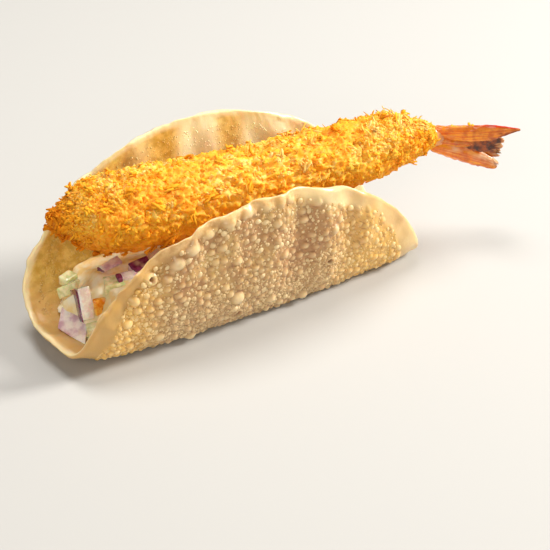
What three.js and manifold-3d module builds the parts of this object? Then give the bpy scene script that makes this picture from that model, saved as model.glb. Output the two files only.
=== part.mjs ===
// A fried prawn taco. A round dumpling wrapper, fried into a blistered boat, holds a dressed
// salad of diced vegetables with a crumbed prawn lying along it, tail out at one end.
//
// Millimetres, +Z up. X runs along the fold towards the prawn's tail, Y from the short near
// flap to the tall far flap. The origin is on the ground, in the middle of the flat fold.
import * as THREE from "three";
import { mergeVertices } from "three/addons/utils/BufferGeometryUtils.js";
import Module from "manifold-3d";

// The wrapper: a disc, a little narrower across the fold, given by s along it and t across it.
const SKIN_RADIUS = 45;
const SKIN_HALF_WIDTH = 41;
const SKIN_THICKNESS = 1.4;
const FOLD_OFFSET = 5.1; // the disc's centre lies this far up the far flap
const FOLD_SKEW = 1.5; // more of that towards the tail end
const FLOOR_SINK = 0.35; // how far the soft fold is pressed flat before it sets
const BASE_TILT = -0.35;
const BASE_RISE = 1.4;
const HEAD_END_RISE = 2.5;
// Each flap leaves the floor after a flat strip and bends up to its lean, in degrees. The lean
// is lean[0] + lean[1] u + lean[2] u^2, with u from -1 to 1 along the fold.
const NEAR_FLAP = { side: -1, flat: 4, bend: 5.3, lean: [79, 2.4, 13.6], curl: 0.008 };
const FAR_FLAP = { side: 1, flat: 7, bend: 14.4, lean: [87.7, 9.8, 12.6], curl: 0 };
const FLUTE_DEPTH = 0.4;
const NEAR_FLUTES = { length: 11.6, phase: 0.6 };
const FAR_FLUTES = { length: 16.7, phase: 5.09 };
const RIM_WAVE = 0.22;
const RIM_WAVES = 9;
// Soft dents that fried into the near flap: along the fold, width and depth.
const DENTS = [
  [7, 4, 0.8],
  [20.5, 3.2, 0.5],
  [-12, 6, 0.3],
];

const SKIN_CELLS_ALONG = 26;
const SKIN_CELLS_ACROSS = 26;
const CELL_PACKING = 0.2; // cells are this much smaller where the flaps bend up
// The large blisters of the near flap: along the fold, across it, and the radius.
const NEAR_BLISTERS = [
  [-28.5, -24.9, 1.5], [-32.5, -20.5, 1.2], [-27.0, -19.5, 0.9], [-26.7, -16.7, 1.0],
  [-33.9, -15.5, 1.2], [-25.9, -10.1, 1.2], [-31.6, -13.1, 0.9], [-8.7, -24.4, 1.15],
  [-12.5, -28.5, 1.0], [-5.1, -28.7, 0.95], [0.7, -26.6, 0.95], [0.5, -30.5, 1.1],
  [8.5, -28.0, 1.1], [5.5, -24.2, 0.9], [3.5, -21.9, 1.15], [-7.9, -15.0, 1.6],
  [-7.3, -10.6, 1.3], [-11.3, -18.7, 1.0], [1.1, -11.3, 1.3], [10.1, -8.8, 1.2],
  [4.0, -9.0, 1.0], [17.8, -25.3, 1.1], [16.0, -23.9, 1.3], [20.4, -22.3, 0.9],
  [24.7, -17.7, 0.95], [15.4, -16.2, 1.15], [-17.8, -7.7, 1.3], [-20.4, -22.4, 0.85],
  [-15.5, -15.9, 0.85], [-22.2, -9.3, 0.9], [8.3, -15.3, 0.85], [-3.1, -14.3, 0.85],
  [-22.8, -27.6, 1.5], [-19.1, -30.2, 1.5], [-15.4, -32.3, 1.3], [-10.9, -33.9, 1.3],
  [-6.1, -34.7, 1.3], [-1.8, -34.8, 1.1], [1.9, -34.6, 1.0], [5.0, -34.0, 0.9],
];
// Those of the far flap are scattered.
const FAR_BLISTERS = 32;
const FAR_BLISTER_RADIUS = [1, 1.6];
const FAR_BLISTER_START = 9.5; // the fold below it lies on the floor
const BLISTER_GAP = 3.8;
const BLISTER_REACH = 0.95; // a smooth band stays free at the rim
const BLISTER_HEIGHT = 0.62; // of its radius

// The prawn in its crumb coat: along the taco, height and radius of the coat.
const PRAWN_STATIONS = [
  [-40.2, 27.5, 1.9],
  [-38.9, 27.0, 3.3],
  [-36.4, 26.6, 5.3],
  [-32.7, 26.3, 7.6],
  [-28, 25.8, 8.8],
  [-21, 25.2, 9.3],
  [-11, 24.4, 9.2],
  [2, 24.0, 9.0],
  [16, 24.2, 8.5],
  [29, 24.7, 8.0],
  [39, 25.3, 7.1],
  [46, 25.1, 5.4],
  [51.5, 23.8, 3.6],
];
const PRAWN_HEAD_Y = 8;
const PRAWN_TAIL_Y = 2;
const COAT_ROUGHNESS = 0.45;
const COAT_RINGS = 22;
const COAT_SIDES = 14;
const CRUMB_FLAKES = 134;
const FLAKE_LENGTH = [5, 2.6];
const FLAKE_WIDTH = [2.2, 1.2];
const FLAKE_THICKNESS = 1;

// The tail shell: its root inside the coat, where it bends and the tips of its blades.
const TAIL_ROOT = new THREE.Vector3(48.5, 2.3, 24.2);
const TAIL_NECK = new THREE.Vector3(53.6, 1.2, 23.3);
const TAIL_ROOT_RADII = [2.6, 2.9];
const TAIL_NECK_RADII = [2.7, 3.4];
// Each blade: how far above the neck's middle it starts, its tip, half width, half thickness,
// how far it sags below a straight line, and the share of its length that keeps full width.
const TAIL_BLADES = [
  { lift: 1.7, tip: [66.4, -10.8, 27.3], half: 2.2, thick: 0.7, sag: 0.8, full: 0.55 },
  { lift: 0.9, tip: [65.2, -7.6, 22.8], half: 3.1, thick: 0.45, sag: 0.3, full: 0.88 },
  { lift: -0.8, tip: [66.8, -5.9, 18.4], half: 2.5, thick: 0.45, sag: -0.2, full: 0.85 },
  { lift: -1.5, tip: [65.4, -5.7, 15.8], half: 2.2, thick: 1, sag: -0.2, full: 0.75 },
  { lift: 0, tip: [61.6, -4.4, 21.6], half: 1.2, thick: 1.1, sag: 0, full: 0.5 },
];
const FAN_FACE = new THREE.Vector3(0.58, 0.8, 0.1); // the way the fan's broad side looks

// The dressed salad.
const SALAD_TOP = 14.2;
const SALAD_LUMP = 0.7;
const SALAD_CELL = 4.2;
const SALAD_HEAD_FOOT = -42.2;
const SALAD_HEAD_BROW = -35;
const SALAD_FAR_SLANT = 0.35; // the head end of the heap draws back towards the far flap
const SALAD_NEAR_SLANT = 0.9; // and more so towards the near one
const SALAD_FAR_FALL = 0.3; // and its top falls away to the far side
const SALAD_NICHE = { x: -34.6, y: 0.2, spread: 2.6, depth: 3.5 }; // in front of the onion slab
const SALAD_TAIL_BROW = 30;
const SALAD_TAIL_FOOT = 38;
const SALAD_FOOT_HEIGHT = 3.6;
// Diced pieces at the head mouth: the centre, and the three edges of a slanted block.
const HEAD_PIECES = [
  [[-36.1, 3.9, 9.1], [2.6, -0.3, 0.35], [0.85, 3.9, -2.5], [0.6, 3.3, 5.2]],
  [[-37.2, 5.0, 6.9], [-2.8, 1.8, -3.2], [-0.8, -3.4, -5.3], [-2.3, -1.4, 1.25]],
  [[-39.1, 2.6, 5.3], [2.3, -6.2, -1.2], [-2.5, -2.6, -2.8], [0.6, 0.4, -1.0]],
  [[-35.1, 10.8, 8.5], [2.5, -2.6, 2.2], [0.1, -1.2, -1.8], [2.2, 1.4, -0.8]],
  [[-34.4, 12.9, 9.3], [2.9, 0.6, 0.4], [-0.6, 2.6, 0], [0, 0, 2.1]],
  [[-33.8, 2.4, 9.0], [2.3, 0, 0.3], [0.5, 3.6, -0.9], [0, 0.6, 3.2]],
  [[-36.2, -0.5, 5.2], [3.0, -0.6, 0.4], [0.6, 2.8, 0.3], [0, 0, 2.6]],
  [[-29.9, 2.0, 12.3], [4.0, -1.5, 0.3], [1.0, 3.0, 0.4], [0, 0, 2.6]],
  [[-26.9, 1.3, 13.3], [3.2, -0.6, 0.2], [0.5, 2.0, 0.2], [0, 0.3, 2.4]],
  [[-23.5, 2.9, 13.3], [4.4, 0.3, 0], [0, 2.6, 0.6], [0.2, -0.4, 2.4]],
  [[-19.3, 4.4, 13.4], [4.4, 0.6, 0.3], [-0.4, 2.6, 0.4], [0, -0.4, 2.2]],
  [[-27.6, 7.2, 12.9], [4.6, 0.9, 0.3], [-0.4, 1.9, 0.2], [0, 0.4, 2.0]],
];
// Smaller ones strewn over the rest of the heap.
const LOOSE_PIECES = 20;
const PIECE_SIZE = [5.2, 2.8];
const STREWN_X = [-20, 35.5];
const STREWN_Y = [-7, 15];

const SALAD_TO_SHELL = 0.4; // gaps between neighbours
const SALAD_TO_COAT = 1.1;
const TAIL_TO_COAT = 0.3;

const wasm = await Module();
wasm.setup();

// ---- helpers ----

// A repeatable source of random numbers from 0 to 1.
function makeRandom(seed) {
  let state = seed;
  return () => {
    state = (state + 0x6d2b79f5) | 0;
    let mixed = Math.imul(state ^ (state >>> 15), 1 | state);
    mixed = (mixed + Math.imul(mixed ^ (mixed >>> 7), 61 | mixed)) ^ mixed;
    return ((mixed ^ (mixed >>> 14)) >>> 0) / 4294967296;
  };
}

const { lerp, smoothstep, degToRad, clamp } = THREE.MathUtils;

function toSolid(geometry) {
  const bare = geometry.clone();
  bare.deleteAttribute("normal");
  bare.deleteAttribute("uv");
  const merged = mergeVertices(bare, 1e-4);
  return new wasm.Manifold(
    new wasm.Mesh({
      numProp: 3,
      vertProperties: new Float32Array(merged.attributes.position.array),
      triVerts: new Uint32Array(merged.index.array),
    }),
  );
}

// Keeps the largest body and drops the bits that a cut left loose.
function withoutScraps(solid) {
  const bodies = solid.decompose();
  return bodies.reduce((largest, body) => (body.volume() > largest.volume() ? body : largest));
}

function toMesh(name, solid, colour, roughness) {
  const made = solid.getMesh();
  const geometry = new THREE.BufferGeometry();
  geometry.setAttribute("position", new THREE.BufferAttribute(made.vertProperties, 3));
  geometry.setIndex(new THREE.BufferAttribute(made.triVerts, 1));
  geometry.computeVertexNormals();
  const material = new THREE.MeshStandardMaterial({ color: colour, roughness, metalness: 0 });
  const mesh = new THREE.Mesh(geometry, material);
  mesh.name = name;
  return mesh;
}

// A closed solid between two grids of points that share one outline. Both point functions
// take a and b from -1 to 1, and the rim function gives the points that close the edge.
function quilt(cellsA, cellsB, below, above, rim) {
  const points = [];
  const index = [];
  const columns = cellsA + 1;
  const perSide = columns * (cellsB + 1);
  for (const place of [below, above]) {
    for (let j = 0; j <= cellsB; j++) {
      for (let i = 0; i <= cellsA; i++) {
        points.push(place((2 * i) / cellsA - 1, (2 * j) / cellsB - 1));
      }
    }
  }
  for (let j = 0; j < cellsB; j++) {
    for (let i = 0; i < cellsA; i++) {
      const [p, q, r, s] = [j, j, j + 1, j + 1].map((row, k) => row * columns + i + (k % 2));
      // The diagonal runs towards the disc's middle, so that no edge triangle is flat.
      const slanted = i < cellsA / 2 === j < cellsB / 2;
      const pair = slanted ? [[p, s, q], [p, r, s]] : [[p, r, q], [q, r, s]];
      for (const [u, v, w] of pair) {
        index.push(u, v, w);
        index.push(u + perSide, w + perSide, v + perSide);
      }
    }
  }
  const border = [];
  for (let i = 0; i < cellsA; i++) border.push([i, 0]);
  for (let j = 0; j < cellsB; j++) border.push([cellsA, j]);
  for (let i = cellsA; i > 0; i--) border.push([i, cellsB]);
  for (let j = cellsB; j > 0; j--) border.push([0, j]);
  const firstRim = points.length;
  for (const [i, j] of border) points.push(rim((2 * i) / cellsA - 1, (2 * j) / cellsB - 1));
  border.forEach(([i, j], k) => {
    const next = (k + 1) % border.length;
    const [ni, nj] = border[next];
    const low = j * columns + i;
    const lowNext = nj * columns + ni;
    const edge = firstRim + k;
    const edgeNext = firstRim + next;
    index.push(low, lowNext, edgeNext, low, edgeNext, edge);
    index.push(edge, edgeNext, lowNext + perSide, edge, lowNext + perSide, low + perSide);
  });
  const geometry = new THREE.BufferGeometry().setFromPoints(points);
  geometry.setIndex(index);
  return toSolid(geometry);
}

// ---- the wrapper's surface ----

// How far a flap has run out and up after t millimetres of wrapper.
function flapProfile(flap, u, t) {
  const lean = degToRad(flap.lean[0] + flap.lean[1] * u + flap.lean[2] * u * u);
  const steps = Math.max(2, Math.ceil(t / 0.6));
  let out = 0;
  let up = 0;
  for (let k = 0; k < steps; k++) {
    const run = Math.max(0, ((k + 0.5) * t) / steps - flap.flat);
    const slope = lean * Math.tanh(run / flap.bend) + flap.curl * run;
    out += (Math.cos(slope) * t) / steps;
    up += (Math.sin(slope) * t) / steps;
  }
  return [out, up];
}

function flapTop(s) {
  return SKIN_HALF_WIDTH * Math.sqrt(Math.max(0, 1 - (s / SKIN_RADIUS) ** 2));
}

function foldCentre(s) {
  return FOLD_OFFSET + (FOLD_SKEW * s) / SKIN_RADIUS;
}

// How far out on the disc a place lies: 0 in the middle and 1 on the rim.
function discReach(s, t) {
  return Math.hypot(s / SKIN_RADIUS, (t - foldCentre(s)) / SKIN_HALF_WIDTH);
}

// Gentle flutes in the upper flaps, dents in the near one and a wavy rim.
function wave(s, t) {
  const rise = Math.abs(t);
  const near = t < 0;
  const { length, phase } = near ? NEAR_FLUTES : FAR_FLUTES;
  const flutes = Math.sin((2 * Math.PI * s) / length + phase);
  const rimWave = Math.sin(RIM_WAVES * Math.atan2(t - foldCentre(s), s) + 0.8);
  let depth = FLUTE_DEPTH * flutes * smoothstep(rise, 12, 30);
  depth += RIM_WAVE * rimWave * smoothstep(discReach(s, t), 0.84, 1);
  if (near) {
    for (const [place, width, dent] of DENTS) {
      depth -= dent * Math.exp(-(((s - place) / width) ** 2)) * smoothstep(rise, 7, 16);
    }
  }
  return depth;
}

function smoothSkinPoint(s, t) {
  const u = s / SKIN_RADIUS;
  const flap = t < 0 ? NEAR_FLAP : FAR_FLAP;
  const [out, up] = flapProfile(flap, u, Math.abs(t));
  const headEnd = u < 0 ? HEAD_END_RISE * u ** 4 : 0;
  const base = BASE_TILT * u + BASE_RISE * Math.abs(u) ** 3 + headEnd;
  return new THREE.Vector3(s, flap.side * out, up + base + SKIN_THICKNESS / 2 - FLOOR_SINK);
}

function skinNormal(s, t) {
  const along = smoothSkinPoint(s + 0.2, t).sub(smoothSkinPoint(s - 0.2, t));
  const across = smoothSkinPoint(s, t + 0.2).sub(smoothSkinPoint(s, t - 0.2));
  return across.cross(along).normalize();
}

// A point of the wrapper, moved outwards from its middle layer by offset.
function skinPoint(s, t, offset) {
  return smoothSkinPoint(s, t).addScaledVector(skinNormal(s, t), offset + wave(s, t));
}

// Spreads a square evenly over the disc, and gives the wrapper's s and t there.
function onDisc(a, spread, reach = 1) {
  const b = spread * (1 - CELL_PACKING * (1 - spread * spread));
  const s = SKIN_RADIUS * reach * a * Math.sqrt(1 - (b * b) / 2);
  const across = SKIN_HALF_WIDTH * reach * b * Math.sqrt(1 - (a * a) / 2);
  return [s, foldCentre(s) + across];
}

// ---- the fried wrapper ----

function blisterPlaces() {
  const random = makeRandom(11);
  const places = NEAR_BLISTERS.map(([s, t, radius]) => ({ s, t, radius, spin: s }));
  for (let tries = 0; tries < 6000; tries++) {
    if (places.length === NEAR_BLISTERS.length + FAR_BLISTERS) break;
    const s = SKIN_RADIUS * lerp(-1, 1, random());
    const t = FOLD_OFFSET + SKIN_HALF_WIDTH * lerp(-1, 1, random());
    if (discReach(s, t) > BLISTER_REACH || t < FAR_BLISTER_START) continue;
    if (places.some((p) => Math.hypot(p.s - s, p.t - t) < BLISTER_GAP)) continue;
    const radius = lerp(...FAR_BLISTER_RADIUS, random());
    places.push({ s, t, radius, spin: 2 * Math.PI * random() });
  }
  return places;
}

function blister({ s, t, radius, spin }) {
  const normal = skinNormal(s, t);
  const dome = new THREE.IcosahedronGeometry(radius, 0);
  dome.rotateZ(spin);
  dome.scale(1, 1, BLISTER_HEIGHT);
  dome.applyQuaternion(
    new THREE.Quaternion().setFromUnitVectors(new THREE.Vector3(0, 0, 1), normal),
  );
  const centre = skinPoint(s, t, SKIN_THICKNESS / 2);
  dome.translate(centre.x, centre.y, centre.z);
  return toSolid(dome);
}

function makeShell() {
  const half = SKIN_THICKNESS / 2;
  const sheet = quilt(
    SKIN_CELLS_ALONG,
    SKIN_CELLS_ACROSS,
    (a, b) => skinPoint(...onDisc(a, b), half),
    (a, b) => skinPoint(...onDisc(a, b), -half),
    (a, b) => skinPoint(...onDisc(a, b, 1 + half / SKIN_RADIUS), 0),
  );
  const blisters = blisterPlaces().map(blister);
  const belowFloor = new THREE.BoxGeometry(120, 80, 10);
  belowFloor.translate(0, 0, -5);
  const joined = wasm.Manifold.union([sheet, ...blisters]);
  return withoutScraps(joined.subtract(toSolid(belowFloor)));
}

// The room inside the wrapper, closed by a lid drawn straight from rim to rim.
function makePocket(gap) {
  const inside = -SKIN_THICKNESS / 2 - gap;
  const lid = (a, b) => {
    const [s] = onDisc(a, b);
    const reach = Math.max(flapTop(s), 1e-6);
    const share = (onDisc(a, b)[1] - foldCentre(s)) / reach;
    const nearRim = skinPoint(s, foldCentre(s) - reach, inside);
    const farRim = skinPoint(s, foldCentre(s) + reach, inside);
    return nearRim.lerp(farRim, clamp((share + 1) / 2, 0, 1));
  };
  const wall = (a, b) => skinPoint(...onDisc(a, b), inside);
  return quilt(SKIN_CELLS_ALONG, SKIN_CELLS_ACROSS, wall, lid, (a, b) =>
    skinPoint(...onDisc(a, b, 1.001), inside),
  );
}

// ---- the crumbed prawn ----

const prawnHeadX = PRAWN_STATIONS[0][0];
const prawnTailX = PRAWN_STATIONS[PRAWN_STATIONS.length - 1][0];
const prawnLine = new THREE.CatmullRomCurve3(
  PRAWN_STATIONS.map(([x, z]) => {
    const share = (x - prawnHeadX) / (prawnTailX - prawnHeadX);
    return new THREE.Vector3(x, lerp(PRAWN_HEAD_Y, PRAWN_TAIL_Y, share), z);
  }),
);
const prawnGirth = new THREE.CatmullRomCurve3(
  PRAWN_STATIONS.map(([x, , radius]) => new THREE.Vector3(x, radius, 0)),
);

// A closed tube with a pole at each end, from a function of the way along and round it.
function roundBody(rings, sides, place, startPole, endPole) {
  const points = [startPole];
  for (let i = 0; i < rings; i++) {
    for (let j = 0; j < sides; j++) points.push(place(i / (rings - 1), (2 * Math.PI * j) / sides));
  }
  points.push(endPole);
  const index = [];
  const last = points.length - 1;
  const at = (i, j) => 1 + i * sides + (j % sides);
  for (let j = 0; j < sides; j++) {
    index.push(0, at(0, j + 1), at(0, j));
    index.push(last, at(rings - 1, j), at(rings - 1, j + 1));
    for (let i = 0; i < rings - 1; i++) {
      index.push(at(i, j), at(i, j + 1), at(i + 1, j + 1));
      index.push(at(i, j), at(i + 1, j + 1), at(i + 1, j));
    }
  }
  const geometry = new THREE.BufferGeometry().setFromPoints(points);
  geometry.setIndex(index);
  return toSolid(geometry);
}

function coatPoint(along, round, extra) {
  const centre = prawnLine.getPoint(along);
  const radius = prawnGirth.getPoint(along).y + extra;
  return centre.add(new THREE.Vector3(0, radius * Math.cos(round), radius * Math.sin(round)));
}

function coatBody(growth, roughness) {
  const random = makeRandom(5);
  return roundBody(
    COAT_RINGS,
    COAT_SIDES,
    (along, round) => coatPoint(along, round, growth + roughness * (2 * random() - 1)),
    prawnLine.getPoint(0).add(new THREE.Vector3(-1.4 - growth, 0, 0.3)),
    prawnLine.getPoint(1).add(new THREE.Vector3(0.6 + growth, 0, 0)),
  );
}

// A splinter of breadcrumb, half sunk in the coat and tipped out of it.
function flake(along, round, length, width, tip, turn) {
  const splinter = new THREE.OctahedronGeometry(0.5, 0);
  splinter.scale(length, width, FLAKE_THICKNESS);
  splinter.rotateY(tip);
  splinter.rotateZ(turn);
  splinter.rotateX(round - Math.PI / 2);
  const seat = coatPoint(along, round, -0.1);
  splinter.translate(seat.x, seat.y, seat.z);
  return toSolid(splinter);
}

function makePrawn(tailSocket) {
  const random = makeRandom(23);
  const golden = Math.PI * (3 - Math.sqrt(5));
  const flakes = [];
  for (let k = 0; k < CRUMB_FLAKES; k++) {
    const along = lerp(0.015, 0.97, (k + random()) / CRUMB_FLAKES);
    const round = golden * k + 0.5 * random();
    const upward = Math.max(0, Math.sin(round)) * smoothstep(along, 0.55, 0.85);
    const length = lerp(FLAKE_LENGTH[1], FLAKE_LENGTH[0], random());
    const width = lerp(FLAKE_WIDTH[1], FLAKE_WIDTH[0], random());
    const tip = lerp(0.12, 0.35 + 0.6 * upward, random());
    flakes.push(flake(along, round, length, width, tip, 2 * Math.PI * random()));
  }
  const coat = wasm.Manifold.union([coatBody(0, COAT_ROUGHNESS), ...flakes]);
  return withoutScraps(coat.subtract(tailSocket));
}

// ---- the tail ----

function stub(growth) {
  const line = new THREE.LineCurve3(TAIL_ROOT, TAIL_NECK);
  return roundBody(
    3,
    10,
    (along, round) => {
      const across = lerp(TAIL_ROOT_RADII[0], TAIL_NECK_RADII[0], along) + growth;
      const tall = lerp(TAIL_ROOT_RADII[1], TAIL_NECK_RADII[1], along) + growth;
      const offset = new THREE.Vector3(0, across * Math.cos(round), tall * Math.sin(round));
      return line.getPoint(along).add(offset);
    },
    TAIL_ROOT.clone().add(new THREE.Vector3(-0.8 - growth, 0, 0)),
    TAIL_NECK.clone().add(new THREE.Vector3(1.2 + growth, -0.6, 0)),
  );
}

// A leaf-shaped blade from inside the neck to its tip.
function blade({ lift, tip, half, thick, sag, full }) {
  const root = TAIL_NECK.clone().add(new THREE.Vector3(-1.6, 0.5, lift));
  const end = new THREE.Vector3(...tip);
  const run = end.clone().sub(root).normalize();
  const edge = FAN_FACE.clone().cross(run).normalize();
  const out = run.clone().cross(edge).normalize();
  return roundBody(
    6,
    6,
    (along, round) => {
      const swell = 0.5 + 0.5 * Math.sin(Math.PI * Math.min(1, 0.15 + 0.75 * along));
      const narrow = 1 - smoothstep(along, full, 1.15);
      const width = half * swell * narrow;
      const depth = thick * (1.5 - along) * Math.sqrt(narrow);
      const drop = sag * Math.sin(Math.PI * along);
      return root
        .clone()
        .lerp(end, along * 0.97)
        .addScaledVector(edge, width * Math.cos(round) + drop)
        .addScaledVector(out, depth * Math.sin(round));
    },
    root.clone().addScaledVector(run, -0.6),
    end,
  );
}

function makeTail() {
  return withoutScraps(wasm.Manifold.union([stub(0), ...TAIL_BLADES.map(blade)]));
}

// ---- the salad ----

function saladHeight(x, y) {
  const farBack = SALAD_FAR_SLANT * Math.max(0, y - 1);
  const drawnBack = farBack + SALAD_NEAR_SLANT * Math.max(0, 4 - y);
  const fall = SALAD_FAR_FALL * Math.max(0, y - 4);
  const headEnd = smoothstep(x, SALAD_HEAD_FOOT + drawnBack, SALAD_HEAD_BROW + drawnBack);
  const tailEnd = 1 - smoothstep(x, SALAD_TAIL_BROW, SALAD_TAIL_FOOT);
  const lumps = Math.sin(0.71 * x + 0.4) * Math.cos(0.63 * y) + 0.6 * Math.sin(1.3 * x - 0.9 * y);
  const { x: nicheX, y: nicheY, spread, depth } = SALAD_NICHE;
  const niche = depth * Math.exp(-((x - nicheX) ** 2 + (y - nicheY) ** 2) / spread ** 2);
  const heap = lerp(SALAD_FOOT_HEIGHT, SALAD_TOP - fall, headEnd * tailEnd);
  return heap + SALAD_LUMP * lumps - niche * headEnd;
}

function saladMound() {
  const [west, east, south, north] = [-44, 40, -14, 24];
  const place = (a, b, z) => {
    const x = lerp(west, east, (a + 1) / 2);
    const y = lerp(south, north, (b + 1) / 2);
    return new THREE.Vector3(x, y, z ?? saladHeight(x, y));
  };
  const columns = Math.round((east - west) / SALAD_CELL);
  const rows = Math.round((north - south) / SALAD_CELL);
  return quilt(
    columns,
    rows,
    (a, b) => place(a, b, -3),
    (a, b) => place(a, b),
    (a, b) => place(a, b, 0).multiply(new THREE.Vector3(1.01, 1.01, 1)),
  );
}

function block(centre, edges) {
  const basis = new THREE.Matrix4().makeBasis(...edges.map((edge) => new THREE.Vector3(...edge)));
  const piece = new THREE.BoxGeometry(1, 1, 1);
  return toSolid(piece.applyMatrix4(basis.setPosition(...centre)));
}

function dice([x, y, z], [length, width, height], [turnX, turnY, turnZ]) {
  const piece = new THREE.BoxGeometry(length, width, height);
  piece.rotateX(degToRad(turnX));
  piece.rotateY(degToRad(turnY));
  piece.rotateZ(degToRad(turnZ));
  piece.translate(x, y, z);
  return toSolid(piece);
}

function loosePieces() {
  const random = makeRandom(71);
  const pieces = [];
  for (let k = 0; k < LOOSE_PIECES; k++) {
    const x = lerp(...STREWN_X, (k + random()) / LOOSE_PIECES);
    const y = lerp(...STREWN_Y, random());
    const size = lerp(PIECE_SIZE[0], PIECE_SIZE[1], k / LOOSE_PIECES);
    const sizes = [size, size * lerp(0.6, 1, random()), size * lerp(0.5, 0.9, random())];
    const turns = [50 * random(), 50 * random(), 180 * random()];
    pieces.push(dice([x, y, saladHeight(x, y) - 0.15 * size], sizes, turns));
  }
  return pieces;
}

function makeSalad(prawnRoom) {
  const headPieces = HEAD_PIECES.map(([centre, ...edges]) => block(centre, edges));
  const pieces = [...headPieces, ...loosePieces()];
  const heap = wasm.Manifold.union([saladMound(), ...pieces]);
  return withoutScraps(heap.intersect(makePocket(SALAD_TO_SHELL)).subtract(prawnRoom));
}

// ---- the whole taco ----

const taco = new THREE.Group();
taco.add(toMesh("shell", makeShell(), 0xdcbd85, 0.6));
taco.add(toMesh("salad", makeSalad(coatBody(SALAD_TO_COAT, 0)), 0xe6dcb0, 0.35));
taco.add(toMesh("prawn", makePrawn(stub(TAIL_TO_COAT)), 0xe8a63c, 0.75));
taco.add(toMesh("prawn_tail", makeTail(), 0xc8672a, 0.35));

export default taco;
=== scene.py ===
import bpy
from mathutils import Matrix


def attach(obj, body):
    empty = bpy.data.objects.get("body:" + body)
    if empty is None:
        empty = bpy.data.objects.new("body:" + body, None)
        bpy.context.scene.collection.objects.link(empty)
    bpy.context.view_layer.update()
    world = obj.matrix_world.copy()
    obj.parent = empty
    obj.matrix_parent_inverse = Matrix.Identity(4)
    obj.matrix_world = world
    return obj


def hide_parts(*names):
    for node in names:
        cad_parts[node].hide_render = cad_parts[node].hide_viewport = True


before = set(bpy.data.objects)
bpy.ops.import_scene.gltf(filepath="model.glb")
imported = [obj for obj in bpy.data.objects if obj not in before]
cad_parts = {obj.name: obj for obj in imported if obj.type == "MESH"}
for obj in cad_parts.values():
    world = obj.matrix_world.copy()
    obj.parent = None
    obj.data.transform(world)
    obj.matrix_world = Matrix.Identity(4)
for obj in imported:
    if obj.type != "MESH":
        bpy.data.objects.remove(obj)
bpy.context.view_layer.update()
print("CAD nodes:", sorted(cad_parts))

# %% [markdown]
# ## Working units
# Food is measured in millimetres and Blender works in metres, so shapes are worked out in
# millimetres and made smaller at the last moment, when they are written into a mesh.
# %% Working units
import math

import bmesh
import bpy
import numpy as np
from mathutils import Matrix, Vector, kdtree

MM = 0.001
scene = bpy.context.scene
print("one millimetre is", MM, "metres")

# %% [markdown]
# ## Camera
# The taco is seen from its head end and from above, at about the height of a seated eye. A long
# lens keeps the far flap almost as large as the near one. The camera stands on the place it looks
# at, is turned by three angles there and is then drawn back along its own line of sight, which
# is easier to follow than working out where it ends up.
# %% Camera
AZIMUTH, ELEVATION, ROLL = (math.radians(angle) for angle in (-37.18, 32.82, 3))
CAMERA_DISTANCE = 401.6 * MM
CAMERA_TARGET = Vector((11.62, 3.36, 0)) * MM
LENS, SENSOR_WIDTH = 120.95, 36

camera = bpy.data.objects.new("camera", bpy.data.cameras.new("camera"))
scene.collection.objects.link(camera)
turned = (Matrix.Rotation(AZIMUTH, 4, "Z") @ Matrix.Rotation(math.pi / 2 - ELEVATION, 4, "X")
          @ Matrix.Rotation(ROLL, 4, "Z"))
drawn_back = Matrix.Translation((0, 0, CAMERA_DISTANCE))
camera.matrix_world = Matrix.Translation(CAMERA_TARGET) @ turned @ drawn_back
camera.data.lens, camera.data.sensor_width = LENS, SENSOR_WIDTH
camera.data.clip_start = 0.01
scene.camera = camera
print("camera at", [round(v / MM) for v in camera.matrix_world.translation], "mm")

# %% [markdown]
# ## Studio
# Food is lit with large soft lamps, because small ones make every crumb sparkle and every crease
# go black. The main lamp stands high at the tail end, so that its light rakes along the flaps and
# models every blister. One above and behind lights the prawn's back, and a weak one at the head
# opens the shadows. The floor is plain and pale.
# %% Studio
LIT_PLACE = Vector((0, 0, 0.02))


def soft_lamp(name, place, size, power, warmth):
    lamp = bpy.data.objects.new(name, bpy.data.lights.new(name, "AREA"))
    lamp.data.shape = "DISK"
    lamp.data.size = size
    lamp.data.energy = power
    lamp.data.color = warmth
    lamp.location = place
    lamp.rotation_euler = (LIT_PLACE - Vector(place)).to_track_quat("-Z", "Y").to_euler()
    scene.collection.objects.link(lamp)


soft_lamp("tail_lamp", (0.50, -0.16, 0.34), 0.18, 5.0, (1, 0.97, 0.92))
soft_lamp("over_lamp", (0.02, 0.16, 0.56), 0.30, 2.5, (1, 0.97, 0.93))
soft_lamp("head_lamp", (-0.38, -0.38, 0.30), 0.36, 1.35, (1, 0.95, 0.87))

world = bpy.data.worlds.new("studio")
world.use_nodes = True
surround = world.node_tree.nodes["Background"].inputs
surround["Color"].default_value = (1, 0.97, 0.92, 1)
surround["Strength"].default_value = 0.2
scene.world = world
scene.view_settings.view_transform = "Standard"
scene.cycles.use_denoising = True
print("three lamps and a pale surround")

# %% [markdown]
# ## Tools for finishes
# Each finish is a small tree of shader nodes, and a few helpers keep the trees short. One adds a
# node with its settings and links in a single call, others mix colours or lay them over each
# other. Colours are given as an artist would read them off a screen and are turned into the
# linear values that light needs. Where a colour goes is often painted on the piece's points.
# %% Tools for finishes
def tint(*screen):
    """A colour given from 0 to 255 as on a screen."""
    shares = [value / 255 for value in screen]
    return (*(v / 12.92 if v <= 0.04045 else ((v + 0.055) / 1.055) ** 2.4 for v in shares), 1)


def new_finish(name):
    finish = bpy.data.materials.new(name)
    finish.use_nodes = True
    return finish, finish.node_tree, finish.node_tree.nodes["Principled BSDF"]


def plug(node, sockets):
    """Each socket gets a link where it is given another's output, or else a value."""
    for socket, value in sockets.items():
        if isinstance(value, bpy.types.NodeSocket):
            node.id_data.links.new(value, node.inputs[socket])
        else:
            node.inputs[socket].default_value = value


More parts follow.
